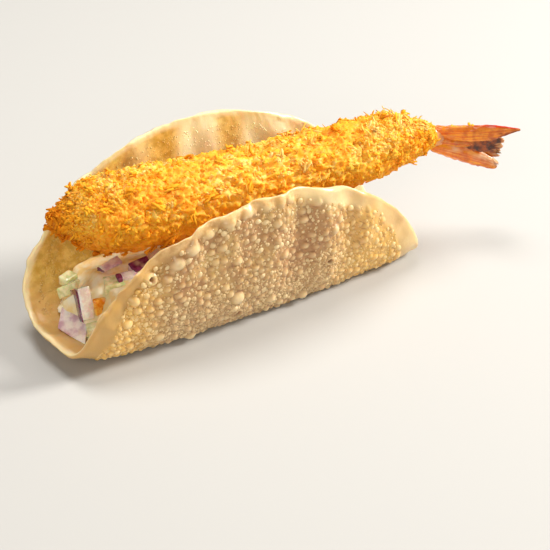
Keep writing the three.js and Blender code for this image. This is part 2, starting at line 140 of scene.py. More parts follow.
def put(tree, kind, sockets=None, **settings):
    made = tree.nodes.new(kind)
    for name, value in settings.items():
        setattr(made, name, value)
    plug(made, sockets or {})
    return made


def painted(tree, name):
    return put(tree, "ShaderNodeAttribute", attribute_name=name).outputs["Fac"]


def partly(tree, name, share):
    """A painted value, times a share."""
    sockets = {0: painted(tree, name), 1: share}
    return put(tree, "ShaderNodeMath", sockets, operation="MULTIPLY").outputs[0]


def blended(tree, share, first, second):
    """Mixes two colours, by a share or by what is painted under the given name."""
    share = painted(tree, share) if isinstance(share, str) else share
    first, second = (tint(*c) if isinstance(c, tuple) else c for c in (first, second))
    return put(tree, "ShaderNodeMix", {0: share, 6: first, 7: second}, data_type="RGBA").outputs[2]


def layered(tree, colour, **layers):
    """Lays one colour after another over the first, each where it is painted."""
    for name, over in layers.items():
        colour = blended(tree, name, colour, over)
    return colour


def speckle(tree, size_mm, detail=3, roughness=0.55):
    """Cloudy noise from 0 to 1 with blotches of about the given size."""
    place = put(tree, "ShaderNodeTexCoord").outputs["Object"]
    sockets = {"Vector": place, "Scale": 1 / (size_mm * MM), "Detail": detail,
               "Roughness": roughness}
    return put(tree, "ShaderNodeTexNoise", sockets).outputs[0]


def spread(tree, value, low, high):
    """Stretches low..high to 0..1 with soft ends."""
    sockets = {"Value": value, "From Min": low, "From Max": high}
    return put(tree, "ShaderNodeMapRange", sockets, interpolation_type="SMOOTHSTEP").outputs[0]


def blotches(tree, low, high, *grain):
    return spread(tree, speckle(tree, *grain), low, high)


def roughened(tree, shader, depth_mm, strength, *grain):
    """Raises a fine grain on a finish."""
    sockets = {"Height": speckle(tree, *grain), "Distance": depth_mm * MM, "Strength": strength}
    plug(shader, {"Normal": put(tree, "ShaderNodeBump", sockets).outputs[0]})


def set_shader(shader, **values):
    plug(shader, {name.replace("_", " "): value for name, value in values.items()})

# %% [markdown]
# ## Tools for shapes
# Fried food is all small irregularities, so everything needs chance that comes out the same each
# time. One helper gives such numbers one by one, in the order the CAD source draws them, so the
# largest blisters and crumbs land where its solids have them. Another gives smooth noise for many
# points at once. The rest read, write and paint the points of a mesh, which is quick in arrays.
# %% Tools for shapes
WORD = 0xFFFFFFFF
GOLDEN_ANGLE = math.pi * (3 - math.sqrt(5))


def repeatable(seed):
    state = seed

    def draw():
        nonlocal state
        state = (state + 0x6D2B79F5) & WORD
        mixed = ((state ^ (state >> 15)) * (1 | state)) & WORD
        mixed = (mixed + ((mixed ^ (mixed >> 7)) * (61 | mixed)) & WORD) ^ mixed
        mixed &= WORD
        return (mixed ^ (mixed >> 14)) / 4294967296

    return draw


def lerp(low, high, share):
    return low + (high - low) * share


def fade(value, low, high):
    share = np.clip((value - low) / (high - low), 0, 1)
    return share * share * (3 - 2 * share)


def noise(points, size, seed):
    """Smooth noise from -1 to 1 for an array of points, changing over about size millimetres."""
    scaled = np.asarray(points, float) / size + 500
    cell = np.floor(scaled).astype(np.int64)
    part = scaled - cell
    part = part * part * (3 - 2 * part)
    total = np.zeros(len(scaled))
    for corner in np.ndindex(2, 2, 2):
        mixed = (cell + corner) @ np.array([73856093, 19349663, 83492791]) + seed * 7919
        mixed = (mixed ^ (mixed >> 13)) * 1274126177
        mixed = (mixed ^ (mixed >> 16)) * 668265263
        value = ((mixed >> 12) & 0xFFFF) / 32767.5 - 1
        total += np.prod(np.where(corner, part, 1 - part), axis=1) * value
    return total


def rows(*columns):
    """Sets columns side by side. A single number goes all the way down."""
    return np.stack(np.broadcast_arrays(*columns), 1)


def unit(vectors):
    return vectors / np.linalg.norm(vectors, axis=-1, keepdims=True)


def finder(places):
    """A tree that finds the nearest of many places."""
    tree = kdtree.KDTree(len(places))
    for k, place in enumerate(places):
        tree.insert(place, k)
    tree.balance()
    return tree


def make_mesh(name, bm):
    mesh = bpy.data.meshes.new(name)
    bm.to_mesh(mesh)
    bm.free()
    return mesh


def read(elements, what):
    """Three numbers of each element, such as its place."""
    values = np.empty(len(elements) * 3)
    elements.foreach_get(what, values)
    return values.reshape(-1, 3)


def paint(mesh, **layers):
    """Paints values on the points of a mesh, each layer under its own name."""
    for name, values in layers.items():
        layer = mesh.attributes.new(name, "FLOAT", "POINT")
        layer.data.foreach_set("value", np.full(len(mesh.vertices), values, np.float32))


def edited(mesh, operator, part, **settings):
    """Runs one bmesh operator on all verts or faces of a mesh."""
    bm = bmesh.new()
    bm.from_mesh(mesh)
    operator(bm, **{part: getattr(bm, part)}, **settings)
    bm.to_mesh(mesh)
    bm.free()


def turn_outward(mesh):
    edited(mesh, bmesh.ops.recalc_face_normals, "faces")


def set_points(mesh, points_mm):
    mesh.vertices.foreach_set("co", (np.asarray(points_mm) * MM).astype(np.float32).ravel())
    mesh.update()
    turn_outward(mesh)


def serve(name, mesh, finish, node):
    """Puts a finished mesh in the scene, in place of a CAD node."""
    piece = bpy.data.objects.new(name, mesh)
    scene.collection.objects.link(piece)
    mesh.materials.clear()
    mesh.materials.append(finish)
    mesh.shade_smooth()
    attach(piece, "root")
    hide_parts(node)
    print(f"{name}: {sum(len(p.vertices) - 2 for p in mesh.polygons)} triangles")

# %% [markdown]
# ## The floor
# The floor only has to catch the shadow. A flat sheet that leaves the picture on all sides does
# that, plain and pale, and lies a hair below the taco so that the two never share a surface.
# %% The floor
HALF_FLOOR, FLOOR_DROP = 3, 0.02 * MM

bm = bmesh.new()
bmesh.ops.create_grid(bm, x_segments=8, y_segments=8, size=HALF_FLOOR)
floor = bpy.data.objects.new("floor", make_mesh("floor", bm))
scene.collection.objects.link(floor)
floor_finish, tree, shader = new_finish("pale_floor")
set_shader(shader, Base_Color=tint(192, 191, 188), Roughness=0.85)
floor.data.materials.append(floor_finish)
floor.location.z = -FLOOR_DROP
print("floor", [round(v, 1) for v in floor.dimensions], "m")

# %% [markdown]
# ## The wrapper as a surface
# The wrapper is a disc of dough, so a place on it is given by s along the fold and t across it.
# Each flap leaves the floor after a flat strip and bends up to a lean that changes along the
# fold. Walking up the flap in short steps gives the curve. These are the same rules that the CAD
# solid follows, worked out here for thousands of points together.
# %% The wrapper as a surface
SKIN_RADIUS, SKIN_HALF_WIDTH, HALF_THICK = 45, 41, 0.7
FOLD_OFFSET, FOLD_SKEW = 5.1, 1.5
BASE_LIFT, BASE_TILT, BASE_RISE, HEAD_END_RISE = 0.35, -0.35, 1.4, 2.5
NEAR_FLAP = {"side": -1, "flat": 4, "bend": 5.3, "lean": (79, 2.4, 13.6), "curl": 0.008}
FAR_FLAP = {"side": 1, "flat": 7, "bend": 14.4, "lean": (87.7, 9.8, 12.6), "curl": 0}
FLUTE_DEPTH = 0.4
NEAR_FLUTES, FAR_FLUTES = (11.6, 0.6), (16.7, 5.09)
RIM_WAVE, RIM_WAVES = 0.22, 9
DENTS = ((7, 4, 0.8), (20.5, 3.2, 0.5), (-12, 6, 0.3))
FLAP_STEPS = 48


def flap_curve(flap, u, rise):
    lean = np.radians(flap["lean"][0] + flap["lean"][1] * u + flap["lean"][2] * u * u)
    out, high = np.zeros_like(rise), np.zeros_like(rise)
    for k in range(FLAP_STEPS):
        run = np.maximum(0, (k + 0.5) * rise / FLAP_STEPS - flap["flat"])
        slope = lean * np.tanh(run / flap["bend"]) + flap["curl"] * run
        out += np.cos(slope) * rise / FLAP_STEPS
        high += np.sin(slope) * rise / FLAP_STEPS
    return out, high


def smooth_skin(s, t):
    u = s / SKIN_RADIUS
    points = np.empty((len(s), 3))
    base = BASE_TILT * u + BASE_RISE * abs(u) ** 3 + HEAD_END_RISE * np.where(u < 0, u**4, 0)
    for flap in (NEAR_FLAP, FAR_FLAP):
        mine = (t < 0) == (flap["side"] < 0)
        out, high = flap_curve(flap, u[mine], abs(t[mine]))
        points[mine] = rows(s[mine], flap["side"] * out, high + base[mine] + BASE_LIFT)
    return points


def fold_centre(s):
    return FOLD_OFFSET + FOLD_SKEW * s / SKIN_RADIUS


def disc_reach(s, t):
    return np.hypot(s / SKIN_RADIUS, (t - fold_centre(s)) / SKIN_HALF_WIDTH)


def skin_normal(s, t):
    along = smooth_skin(s + 0.2, t) - smooth_skin(s - 0.2, t)
    across = smooth_skin(s, t + 0.2) - smooth_skin(s, t - 0.2)
    return unit(np.cross(across, along))


def fluting(s, length, phase):
    return np.sin(2 * np.pi * s / length + phase)


def wave(s, t):
    """Flutes in the upper flaps, a wavy rim and the soft dents of the near flap."""
    rise, near = abs(t), t < 0
    flutes = np.where(near, fluting(s, *NEAR_FLUTES), fluting(s, *FAR_FLUTES))
    rim_wave = np.sin(RIM_WAVES * np.arctan2(t - fold_centre(s), s) + 0.8)
    depth = FLUTE_DEPTH * flutes * fade(rise, 12, 30)
    depth += RIM_WAVE * rim_wave * fade(disc_reach(s, t), 0.84, 1)
    for place, width, dent in DENTS:
        soft = dent * np.exp(-(((s - place) / width) ** 2)) * fade(rise, 7, 16)
        depth -= np.where(near, soft, 0)
    return depth


probe = smooth_skin(np.array([0.0, 0.0]), np.array([-35.0, 45.0]))
print("near rim about", probe[0].round(1), "far rim about", probe[1].round(1))

# %% [markdown]
# ## Large blisters
# Hot oil turns the water in the dough to steam, which blows up blisters of every size. The
# largest of the near flap are set one by one, most of them as in the CAD solid, and three have
# burst. Those of the far flap are scattered. A smooth band stays free along the rim, wide at the
# two ends.
# %% Large blisters
# Place along the fold, place across it, and radius.
NEAR_BLISTERS = (
    (-28.5, -24.9, 1.5), (-32.5, -20.5, 1.2), (-30.2, -20.1, 0.8), (-27.0, -19.5, 0.9),
    (-26.7, -16.7, 1.0), (-33.9, -15.5, 1.2), (-25.9, -10.1, 1.2), (-31.6, -13.1, 0.9),
    (-8.7, -24.4, 1.15), (-5.9, -23.0, 0.8), (-12.5, -28.5, 1.0), (-12.1, -25.5, 0.85),
    (-17.6, -27.4, 0.85), (-5.1, -28.7, 0.95), (0.7, -26.6, 0.95), (-7.1, -30.5, 0.85),
    (0.5, -30.5, 1.1), (8.5, -28.0, 1.1), (8.1, -30.2, 0.9), (5.5, -24.2, 0.9),
    (3.5, -21.9, 1.15), (-7.9, -15.0, 1.6), (-7.3, -10.6, 1.3), (-11.3, -18.7, 1.0),
    (1.1, -11.3, 1.3), (10.1, -8.8, 1.2), (4.0, -9.0, 1.0), (-0.9, -21.4, 0.85),
    (17.8, -25.3, 1.1), (16.0, -23.9, 1.3), (20.4, -22.3, 0.9), (23.4, -21.9, 0.65),
    (26.4, -21.3, 0.65), (21.3, -25.1, 0.6), (24.7, -17.7, 0.95), (23.2, -15.2, 0.65),
    (31.1, -13.7, 0.65), (30.8, -16.9, 0.6), (15.4, -16.2, 1.15), (-17.8, -7.7, 1.3),
    (-23.5, -17.3, 0.85), (-25.2, -22.0, 0.8), (-20.4, -22.4, 0.75), (-16.3, -22.0, 0.75),
    (-14.2, -19.6, 0.7), (8.3, -15.3, 0.85), (10.9, -18.9, 0.8), (-3.1, -14.3, 0.85),
    (-15.5, -15.9, 0.85), (-16.1, -11.8, 0.8), (-22.2, -9.3, 0.9), (19.0, -9.5, 0.8),
)
# Burst ones, with the share of the radius that is open.
BURST = {(-28.5, -24.9): 0.2, (-7.3, -10.6): 0.42, (15.4, -16.2): 0.3}
# Long puffs under the rim.
PUFFS = (
    (-22.8, -27.6, 1.5), (-19.1, -30.2, 1.5), (-15.4, -32.3, 1.3), (-10.9, -33.9, 1.3),
    (-6.1, -34.7, 1.3), (-1.8, -34.8, 1.1), (1.9, -34.6, 1.0), (5.0, -34.0, 0.9),
)
BAND_PLACES = (-45, -38, -34, -30, -25, 5, 12, 20, 28, 34, 38, 45)
BAND_WIDTHS = (4.5, 3.6, 1.8, 1.0, 0.7, 0.7, 2.4, 3.0, 1.8, 3.0, 5.5, 8.0)
FAR_COUNT, FAR_TRIES, FAR_APART = 32, 6000, 3.8


def rim_gap(s, t):
    """About how many millimetres a place is from the rim."""
    return (1 - disc_reach(s, t)) * SKIN_HALF_WIDTH


def bare_band(s, t):
    return np.where(t < 0, np.interp(s, BAND_PLACES, BAND_WIDTHS), 2.2)


def far_blisters():
    """The scattered ones of the CAD solid."""
    draw = repeatable(11)
    places = [*NEAR_BLISTERS, *PUFFS]
    set_by_hand = len(places)
    for _ in range(FAR_TRIES):
        if len(places) == set_by_hand + FAR_COUNT:
            break
        s = SKIN_RADIUS * lerp(-1, 1, draw())
        t = FOLD_OFFSET + SKIN_HALF_WIDTH * lerp(-1, 1, draw())
        if disc_reach(s, t) > 0.95 or t < 9.5:
            continue
        if any(math.hypot(p[0] - s, p[1] - t) < FAR_APART for p in places):
            continue
        places.append((s, t, lerp(1, 1.6, draw())))
        draw()
    return places[set_by_hand:]


blisters = [*NEAR_BLISTERS, *far_blisters()]
far_ones = len(blisters) - len(NEAR_BLISTERS)
print(len(NEAR_BLISTERS), "single blisters,", len(PUFFS), "puffs and", far_ones, "far ones")

# %% [markdown]
# ## Smaller blisters and pearls
# Hundreds of smaller blisters fill the space between. Each is tried at a random place and kept
# where nothing is in its way, so all of them keep a least gap and look grown and not sprinkled.
# Places are noted in square cells, which shows what lies near without asking every other one.
# %% Smaller blisters and pearls
SMALL_BLISTERS, PEARLS = 620, 1600
CELL = 2


def fill_between(taken, count, sizes, gap, keep, seed, tail_end=1):
    """Adds blisters where keep(s, t) allows them and nothing else is in the way."""
    low, high, rarity = sizes
    rng = np.random.default_rng(seed)
    cells = {}

    def remember(blister):
        home = int(blister[0] // CELL), int(blister[1] // CELL)
        cells.setdefault(home, []).append(blister)

    for blister in taken:
        remember(blister)
    added = []
    for s, t, chance, pick in rng.random((count * 14, 4)):
        s, t = lerp(-45, 45, s), lerp(-36, 47, t)
        if len(added) >= count:
            break
        if rim_gap(s, t) < 0.7 * bare_band(s, t) + 0.5 or chance > keep(s, t):
            continue
        radius = lerp(low, high, pick**rarity) * (tail_end if s > 20 else 1)
        close = [p for i in (-1, 0, 1) for j in (-1, 0, 1)
                 for p in cells.get((int(s // CELL) + i, int(t // CELL) + j), ())]
        if any(math.hypot(p[0] - s, p[1] - t) < gap * (p[2] + radius) for p in close):
            continue
        added.append((s, t, radius))
        remember(added[-1])
    return added


def lower(t):
    """1 at the fold and 0 from a third of the way up a flap."""
    return 1 - float(fade(abs(t), 6, 22))


def many_blisters(s, t):
    if -3 < t < 6 or rim_gap(s, t) < bare_band(s, t):
        return 0
    return (0.4 + 0.4 * lower(t)) * (1 - 0.75 * float(fade(s, 18, 32)))


blisters += fill_between(blisters, SMALL_BLISTERS, (0.55, 0.95, 1.3), 1.0, many_blisters, 3)
pearls = fill_between(
    [*blisters, *PUFFS], PEARLS, (0.33, 0.72, 1.3), 0.92, many_blisters, 4)
print(len(blisters), "blisters and", len(pearls), "pearls")

# %% [markdown]
# ## The wrapper's pillow
# The wrapper starts as a flat square pillow with a fine outer sheet, a coarser inner sheet and a
# rounded edge of a few extruded strips. A pillow closes itself, which saves gluing two curved
# sheets together later.
# %% The wrapper's pillow
CELLS = (146, 122)
EDGE_STEPS = 5
EDGE_REACH = HALF_THICK / SKIN_RADIUS

pillow = bmesh.new()
bmesh.ops.create_grid(pillow, x_segments=CELLS[0], y_segments=CELLS[1], size=1)
bmesh.ops.translate(pillow, verts=pillow.verts, vec=(0, 0, -1))
border = [edge for edge in pillow.edges if edge.is_boundary]
bmesh.ops.subdivide_edges(pillow, edges=border, cuts=1)
fine = bmesh.ops.create_grid(pillow, x_segments=2 * CELLS[0], y_segments=2 * CELLS[1], size=1)
bmesh.ops.translate(pillow, verts=fine["verts"], vec=(0, 0, 1))
border = [e for e in pillow.edges if e.is_boundary and e.verts[0].co.z > 0]
scale_before = 1
for step in range(1, EDGE_STEPS + 1):
    angle = math.pi * step / EDGE_STEPS
    made = bmesh.ops.extrude_edge_only(pillow, edges=border)["geom"]
    border = [g for g in made if isinstance(g, bmesh.types.BMEdge) and g.is_boundary]
    scale = 1 + EDGE_REACH * math.sin(angle)
    for vert in (g for g in made if isinstance(g, bmesh.types.BMVert)):
        vert.co.x *= scale / scale_before
        vert.co.y *= scale / scale_before
        vert.co.z = math.cos(angle)
    scale_before = scale
bmesh.ops.remove_doubles(pillow, verts=pillow.verts, dist=1e-5)
print("open edges left:", sum(e.is_boundary for e in pillow.edges))
wrapper_mesh = make_mesh("wrapper", pillow)

# %% [markdown]
# ## The relief of the skin
# A fried skin is never smooth. Its outside has domes with a crease round each, soft swellings, a
# fine froth and a smooth thick rim, and the far flap's inside shows the flutes as ribs. Each of
# these is a function of the place on the disc. So whatever is set on the skin later can ask for
# the same height, and the same functions say what to paint where.
# %% The relief of the skin
# Soft swellings of the near flap's outside alone: s, t, half width, half height and depth.
SWELLINGS = (
    (8, -26, 3.2, 6, -0.45), (14.5, -26.5, 2.8, 3, 0.5), (16.5, -15, 2.4, 4.5, 0.5),
    (21.5, -19, 2.2, 4, -0.5), (26.5, -21, 3, 4.5, 0.4), (13, -32.6, 6, 1.6, 0.8),
    (25, -27.5, 5, 1.6, 0.4), (39, -13, 3.5, 4.5, 0.5), (-2, -22, 3, 6, 0.3),
    (-9, -12, 2.4, 2.4, 0.5), (-36.3, -14.4, 2.4, 3, 0.7), (-30, -25, 2, 2.4, 0.3),
)
# How high a blister rises for its radius, and how much longer its head side is.
BLISTER_SHAPE, PUFF_SHAPE = (0.72, 1.3), (0.62, 1.7)
# In radii of the blister: how far it is felt, and how wide its crease and its hole's edge are.
BLISTER_REACH, CREASE_WIDTH, HOLE_EDGE = 2.4, 0.22, 0.25
HOLE_DEPTH = 0.3


def bump(s, t, place, height, width, tall):
    """1 at a place of the skin, fading out over a width and a height."""
    return np.exp(-(((s - place) / width) ** 2) - ((t - height) / tall) ** 2)


def rim_slope(s):
    """How the near rim turns, as an angle in the flat disc."""
    u = min(0.95, abs(s) / SKIN_RADIUS) * math.copysign(1, s)
    return math.atan(SKIN_HALF_WIDTH / SKIN_RADIUS * u / math.sqrt(1 - u * u))


def domed(s, t):
    """The height of the blister over each point, and how deep it lies in the creases and open
    holes that are painted as shade.
    """
    tree = finder(rows(s, t, 0))
    height, crease = np.zeros(len(s)), np.zeros(len(s))
    for number, (place_s, place_t, radius) in enumerate([*PUFFS, *blisters]):
        puff = number < len(PUFFS)
        angle = rim_slope(place_s) if puff else 0.0
        rise_share, stretch = PUFF_SHAPE if puff else BLISTER_SHAPE
        tall = rise_share * radius
        hole = BURST.get((place_s, place_t), 0)
        for _, k, _ in tree.find_range((place_s, place_t, 0), BLISTER_REACH * radius):
            ds, dt = s[k] - place_s, t[k] - place_t
            along = ds * math.cos(angle) + dt * math.sin(angle)
            across = dt * math.cos(angle) - ds * math.sin(angle)
            q = math.hypot(along / (stretch if along < 0 else 1), across) / radius
            if q < 1:
                sharp = 0.6 + 0.7 * min(1, max(0, 0.5 - 0.5 * along / radius))
                rise = tall * (1 - q * q) ** sharp
                if hole:
                    inside = 1 - min(1, max(0, (q - hole) / HOLE_EDGE))
                    rise -= (tall + HOLE_DEPTH) * inside
                    # The open hole is painted dark: painted shade.
                    crease[k] = max(crease[k], 1.6 * inside)
                height[k] = max(height[k], rise) if rise >= 0 else rise
            elif not puff:
                # A ring round the blister's foot is painted darker: painted shade.
                crease[k] = max(crease[k], math.exp(-(((q - 1) / CREASE_WIDTH) ** 2)))
    return height, crease


def outer_relief(s, t):
    """How far the outer skin stands out, and the rim's share."""
    flat = rows(s, t, 0)
    gap = rim_gap(s, t) + 0.7 * noise(flat, 3.2, 5)
    rim_share = 1 - fade(gap, bare_band(s, t) - 0.6, bare_band(s, t) + 1.2)
    rough = 0.05 + 0.08 * (1 - fade(abs(t), 8, 26))
    froth = rough * (noise(flat, 0.9, 1) + 0.6 * noise(flat, 0.55, 2)) * (1 - rim_share)
    puff = 0.2 * noise(flat, 7, 3) + 0.24 * noise(flat, 2.6, 4)
    lumps = 0.16 * noise(flat, 2.4, 8) * rim_share
    fold = np.zeros_like(s)
    for *swelling, depth in SWELLINGS:
        fold += depth * bump(s, t, *swelling)
    return froth + puff + lumps + fold, rim_share


def inner_relief(s, t):
    """The far flap's inside shows its flutes as soft ribs."""
    skin = smooth_skin(s, t)
    warped = s + 1.2 * noise(skin, 16, 9)
    ribs = -fluting(warped, *FAR_FLUTES) + 0.3 * fluting(warped, FAR_FLUTES[0] / 2, 1.2)
    ribs *= fade(t, 10, 24) * (1 - 0.6 * fade(disc_reach(s, t), 0.92, 1))
    return 0.16 * noise(skin, 2.2, 6) + 0.13 * noise(skin, 0.9, 7) + 0.7 * ribs


def places_of(s, t):
    """Where the flap is golden, pale or low, where a dent of it gets painted shade, and where the
    ribs of its inside are lit, which gets painted light.
    """
    tip = 0.45 * fade(s, 25, 30) + 0.5 * fade(s, 35, 41)
    tip += fade(s, 4, 10) * (1 - fade(s, 20, 28)) * (1 - fade(rim_gap(s, t), 2.5, 4))
    warped = s + 1.2 * noise(smooth_skin(s, t), 16, 9)
    # The rib layer marks the lit sides of the inner ribs, more of them towards the tail end, and
    # the finish paints them bright: painted light.
    lit = 0.5 + 0.5 * fluting(warped - 2, FAR_FLUTES[0], math.pi / 2)
    lit = np.clip(fade(lit, 0, 0.85) + 0.5 * fade(s, 4, 24), 0, 1)
    return {
        "rib": lit * fade(t, 8, 20) * fade(s, -20, 0),
        "golden": np.clip(fade(s, 12, 28) + fade(-s, 22, 34), 0, 1),
        "pale": np.clip(tip, 0, 1),
        # Inside, the low layer is painted darker towards the fold: painted shade.
        "low": 1 - fade(abs(t), 12, 22),
        # The hollow layer marks a dent of the near flap that is painted darker: painted shade.
        "hollow": bump(s, t, 8, -22, 9, 7),
    }


print(len(SWELLINGS), "swellings and", len(BURST), "burst blisters")

# %% [markdown]
# ## The wrapper laid on its folded disc
# Each point of the pillow is laid on the folded disc, with the rows crowded into the near flap,
# which shows most, and is then pushed out of the skin by whatever relief lies there. Both flaps
# and the fold come from one flat sheet this way, as they do on the real one. What a place is,
# blown up, creased, low or near the rim, is painted on it for the finish.
# %% The wrapper laid on its folded disc
PACKING = -0.25


def on_disc(a, b):
    reach = np.maximum(1, np.maximum(abs(a), abs(b)))
    a, b = a / reach, b / reach
    b = b * (1 + PACKING * (1 - b * b))
    s = SKIN_RADIUS * reach * a * np.sqrt(1 - b * b / 2)
    return s, fold_centre(s) + SKIN_HALF_WIDTH * reach * b * np.sqrt(1 - a * a / 2)


across, upward, side = read(wrapper_mesh.vertices, "co").T
s, t = on_disc(across, upward)
# The rim was cut by hand, so it wanders a little.
wander = noise(rows(s, t, 0), 3.4, 51) + 0.6 * noise(rows(s, t, 0), 1.5, 52)
wander *= lerp(0.0085, 0.003, fade(s, -5, 8)) * fade(disc_reach(s, t), 0.86, 1)
s, t = s * (1 + wander), fold_centre(s) + (t - fold_centre(s)) * (1 + wander)
skin = smooth_skin(s, t)
normal = skin_normal(s, t)
outside = side > 0.3
relief, crease, rim, dome_height = (np.zeros(len(s)) for _ in range(4))
relief[outside], rim[outside] = outer_relief(s[outside], t[outside])
dome_height[outside], crease[outside] = domed(s[outside], t[outside])
relief += dome_height
thin = 1 - 0.5 * fade(disc_reach(s, t), 0.9, 1)
offset = HALF_THICK * thin * side + wave(s, t) + relief * np.clip(side, 0, 1)
offset += inner_relief(s, t) * np.clip(-side, 0, 1)
points = skin + normal * offset[:, None]
points[:, 2] = np.maximum(points[:, 2], 0.01)
set_points(wrapper_mesh, points)
# The crease layer is painted shade round the blisters and in the burst holes.
paint(wrapper_mesh, bubble=np.clip(dome_height / 0.8, 0, 1), crease=crease * (1 - rim),
      # On the inside the rim layer is a thin bright edge: a painted highlight.
      rim=np.where(outside, rim, fade(disc_reach(s, t), 0.982, 0.998)),
      inside=np.clip(0.5 - side, 0, 1), **places_of(s, t))
print("wrapper spans", points.min(0).round(1), points.max(0).round(1))

# %% [markdown]
# ## The wrapper's finish
# Fried dough is pale gold where it is thin and blown up, ochre where it lay against itself, and
# pinkish brown in the hollows between blisters. It lets a little light through, so the shader
# gets a share of subsurface light, and the film of oil is a thin coat. The beads are too small
# for light to run about in, so they get the same colours without it. Painted shade darkens the
# creases round the blisters, the burst holes, a dent of the near flap and the inside towards the
# fold, and painted light brightens the lit sides of the inner ribs and the inside's edge.
# %% The wrapper's finish
def fried_skin(name, runs, gloss):
    finish, tree, shader = new_finish(name)
    mottle = blotches(tree, 0.35, 0.66, 1.8, 4, 0.62)
    outer = blended(tree, blotches(tree, 0.36, 0.64, 8, 2), (188, 140, 84), (217, 176, 106))
    # The hollow layer paints a dent of the near flap darker, as painted shade.
    outer = layered(tree, outer, low=(200, 162, 112), hollow=(186, 136, 84),
                    golden=(238, 186, 90))
    outer = blended(tree, mottle, blended(tree, 0.3, outer, (176, 122, 72)), outer)
    # Painted shade: darker creases round the blisters and in the burst holes.
    outer = blended(tree, spread(tree, painted(tree, "crease"), 0, 1.6), outer, (156, 102, 58))
    blown = blended(tree, "golden", (242, 215, 163), (246, 214, 150))
    outer = blended(tree, spread(tree, painted(tree, "bubble"), 0, 1.3), outer, blown)
    rim_colour = blended(tree, mottle, (212, 166, 98), (244, 210, 148))
    rim_colour = layered(tree, rim_colour, golden=(204, 160, 90), pale=(240, 215, 160))
    outer = blended(tree, partly(tree, "rim", 0.8), outer, rim_colour)
    inner = blended(tree, mottle, (204, 163, 66), (232, 197, 102))
    # Inside, the low layer paints the bottom darker as painted shade, and the rib layer paints the
    # lit sides of the ribs bright as painted light.
    inner = layered(tree, inner, low=(202, 160, 92), rib=(255, 248, 204))
    # The inside's edge at the rim is painted bright: a painted highlight.
    inner = blended(tree, partly(tree, "rim", 0.8), inner, (252, 234, 186))
    set_shader(shader, Base_Color=blended(tree, "inside", outer, inner), Roughness=0.42,
               Subsurface_Weight=runs, Subsurface_Scale=1.2 * MM,
               Subsurface_Radius=(1.0, 0.55, 0.25), Coat_Weight=gloss, Coat_Roughness=0.22)
    roughened(tree, shader, 0.1, 0.5, 0.7, 4, 0.6)
    return finish


wrapper_finish = fried_skin("fried_wrapper", 0.35, 0.35)
bead_finish = fried_skin("fried_beads", 0, 0.06)
serve("wrapper", wrapper_mesh, wrapper_finish, "shell")

# %% [markdown]
# ## Joining many small things
# Beads and crumbs come by the thousand, far too many for an object each. So a few prototypes are
# modelled, and one helper joins any number of copies into a single mesh, each copy with its own
# place, turn, size and paint.
# %% Joining many small things
def prototype(bm):
    """The points and triangles of a small shape."""
    bmesh.ops.triangulate(bm, faces=bm.faces)
    points = np.array([vert.co for vert in bm.verts])
    triangles = np.array([[vert.index for vert in face.verts] for face in bm.faces])
    bm.free()
    return points, triangles


def strewn(name, kinds, rng, axes, places, layers):
    """Joins copies of the kinds. Axes are 3 x 3 each, with the sizes in their columns."""
    choice = rng.integers(0, len(kinds), len(places))
    points, corners, order, start = [], [], [], 0
    for number, (shape, triangles) in enumerate(kinds):
        mine = np.flatnonzero(choice == number)
        turned = np.einsum("nij,vj->nvi", axes[mine], shape) + places[mine, None]
        shifts = start + np.arange(len(mine)) * len(shape)
        points.append(turned.reshape(-1, 3))
        corners.append((triangles[None] + shifts[:, None, None]).reshape(-1, 3))
        order.append(np.repeat(mine, len(shape)))
        start += len(mine) * len(shape)
    points, corners, order = (np.concatenate(parts) for parts in (points, corners, order))
    mesh = bpy.data.meshes.new(name)
    mesh.vertices.add(len(points))
    mesh.loops.add(corners.size)
    mesh.polygons.add(len(corners))
    mesh.vertices.foreach_set("co", (points * MM).astype(np.float32).ravel())
    mesh.loops.foreach_set("vertex_index", corners.astype(np.int32).ravel())
    mesh.polygons.foreach_set("loop_start", np.arange(len(corners), dtype=np.int32) * 3)
    mesh.update(calc_edges=True)
    paint(mesh, **{layer: values[order] for layer, values in layers.items()})
    return mesh


def lying_on(normals, rng, tip, sizes):
    """Axes for things that lie on a surface, tipped up by tip and turned at random."""
    rough = rng.normal(size=normals.shape)
    tangent = unit(rough - normals * np.sum(rough * normals, 1)[:, None])
    rise, run = np.sin(tip)[:, None], np.cos(tip)[:, None]
    length, thick = tangent * run + normals * rise, normals * run - tangent * rise
    return np.stack([length, np.cross(thick, length), thick], 2) * sizes[:, None, :]

# %% [markdown]
# ## Pearls and froth on the wrapper
# Between the blisters the skin is covered in pearls and a froth of beads, rounder than its own
# mesh could show. All are low domes cut from a ball and sunk into the skin. Some froth also rose
# on the inside, most of it behind the head.
# %% Pearls and froth
def sliced(bm, place, facing, **settings):
    """Cuts a whole shape along a plane."""
    return bmesh.ops.bisect_plane(bm, geom=bm.verts[:] + bm.edges[:] + bm.faces[:], dist=1e-5,
                                  plane_co=place, plane_no=facing, **settings)


def dome(fineness):
    bm = bmesh.new()
    bmesh.ops.create_icosphere(bm, subdivisions=fineness, radius=1)
    cut = sliced(bm, (0, 0, -0.3), (0, 0, -1), clear_outer=True)["geom_cut"]
    rim = [g for g in cut if isinstance(g, bmesh.types.BMEdge)]
    bmesh.ops.contextual_create(bm, geom=rim)
    return prototype(bm)


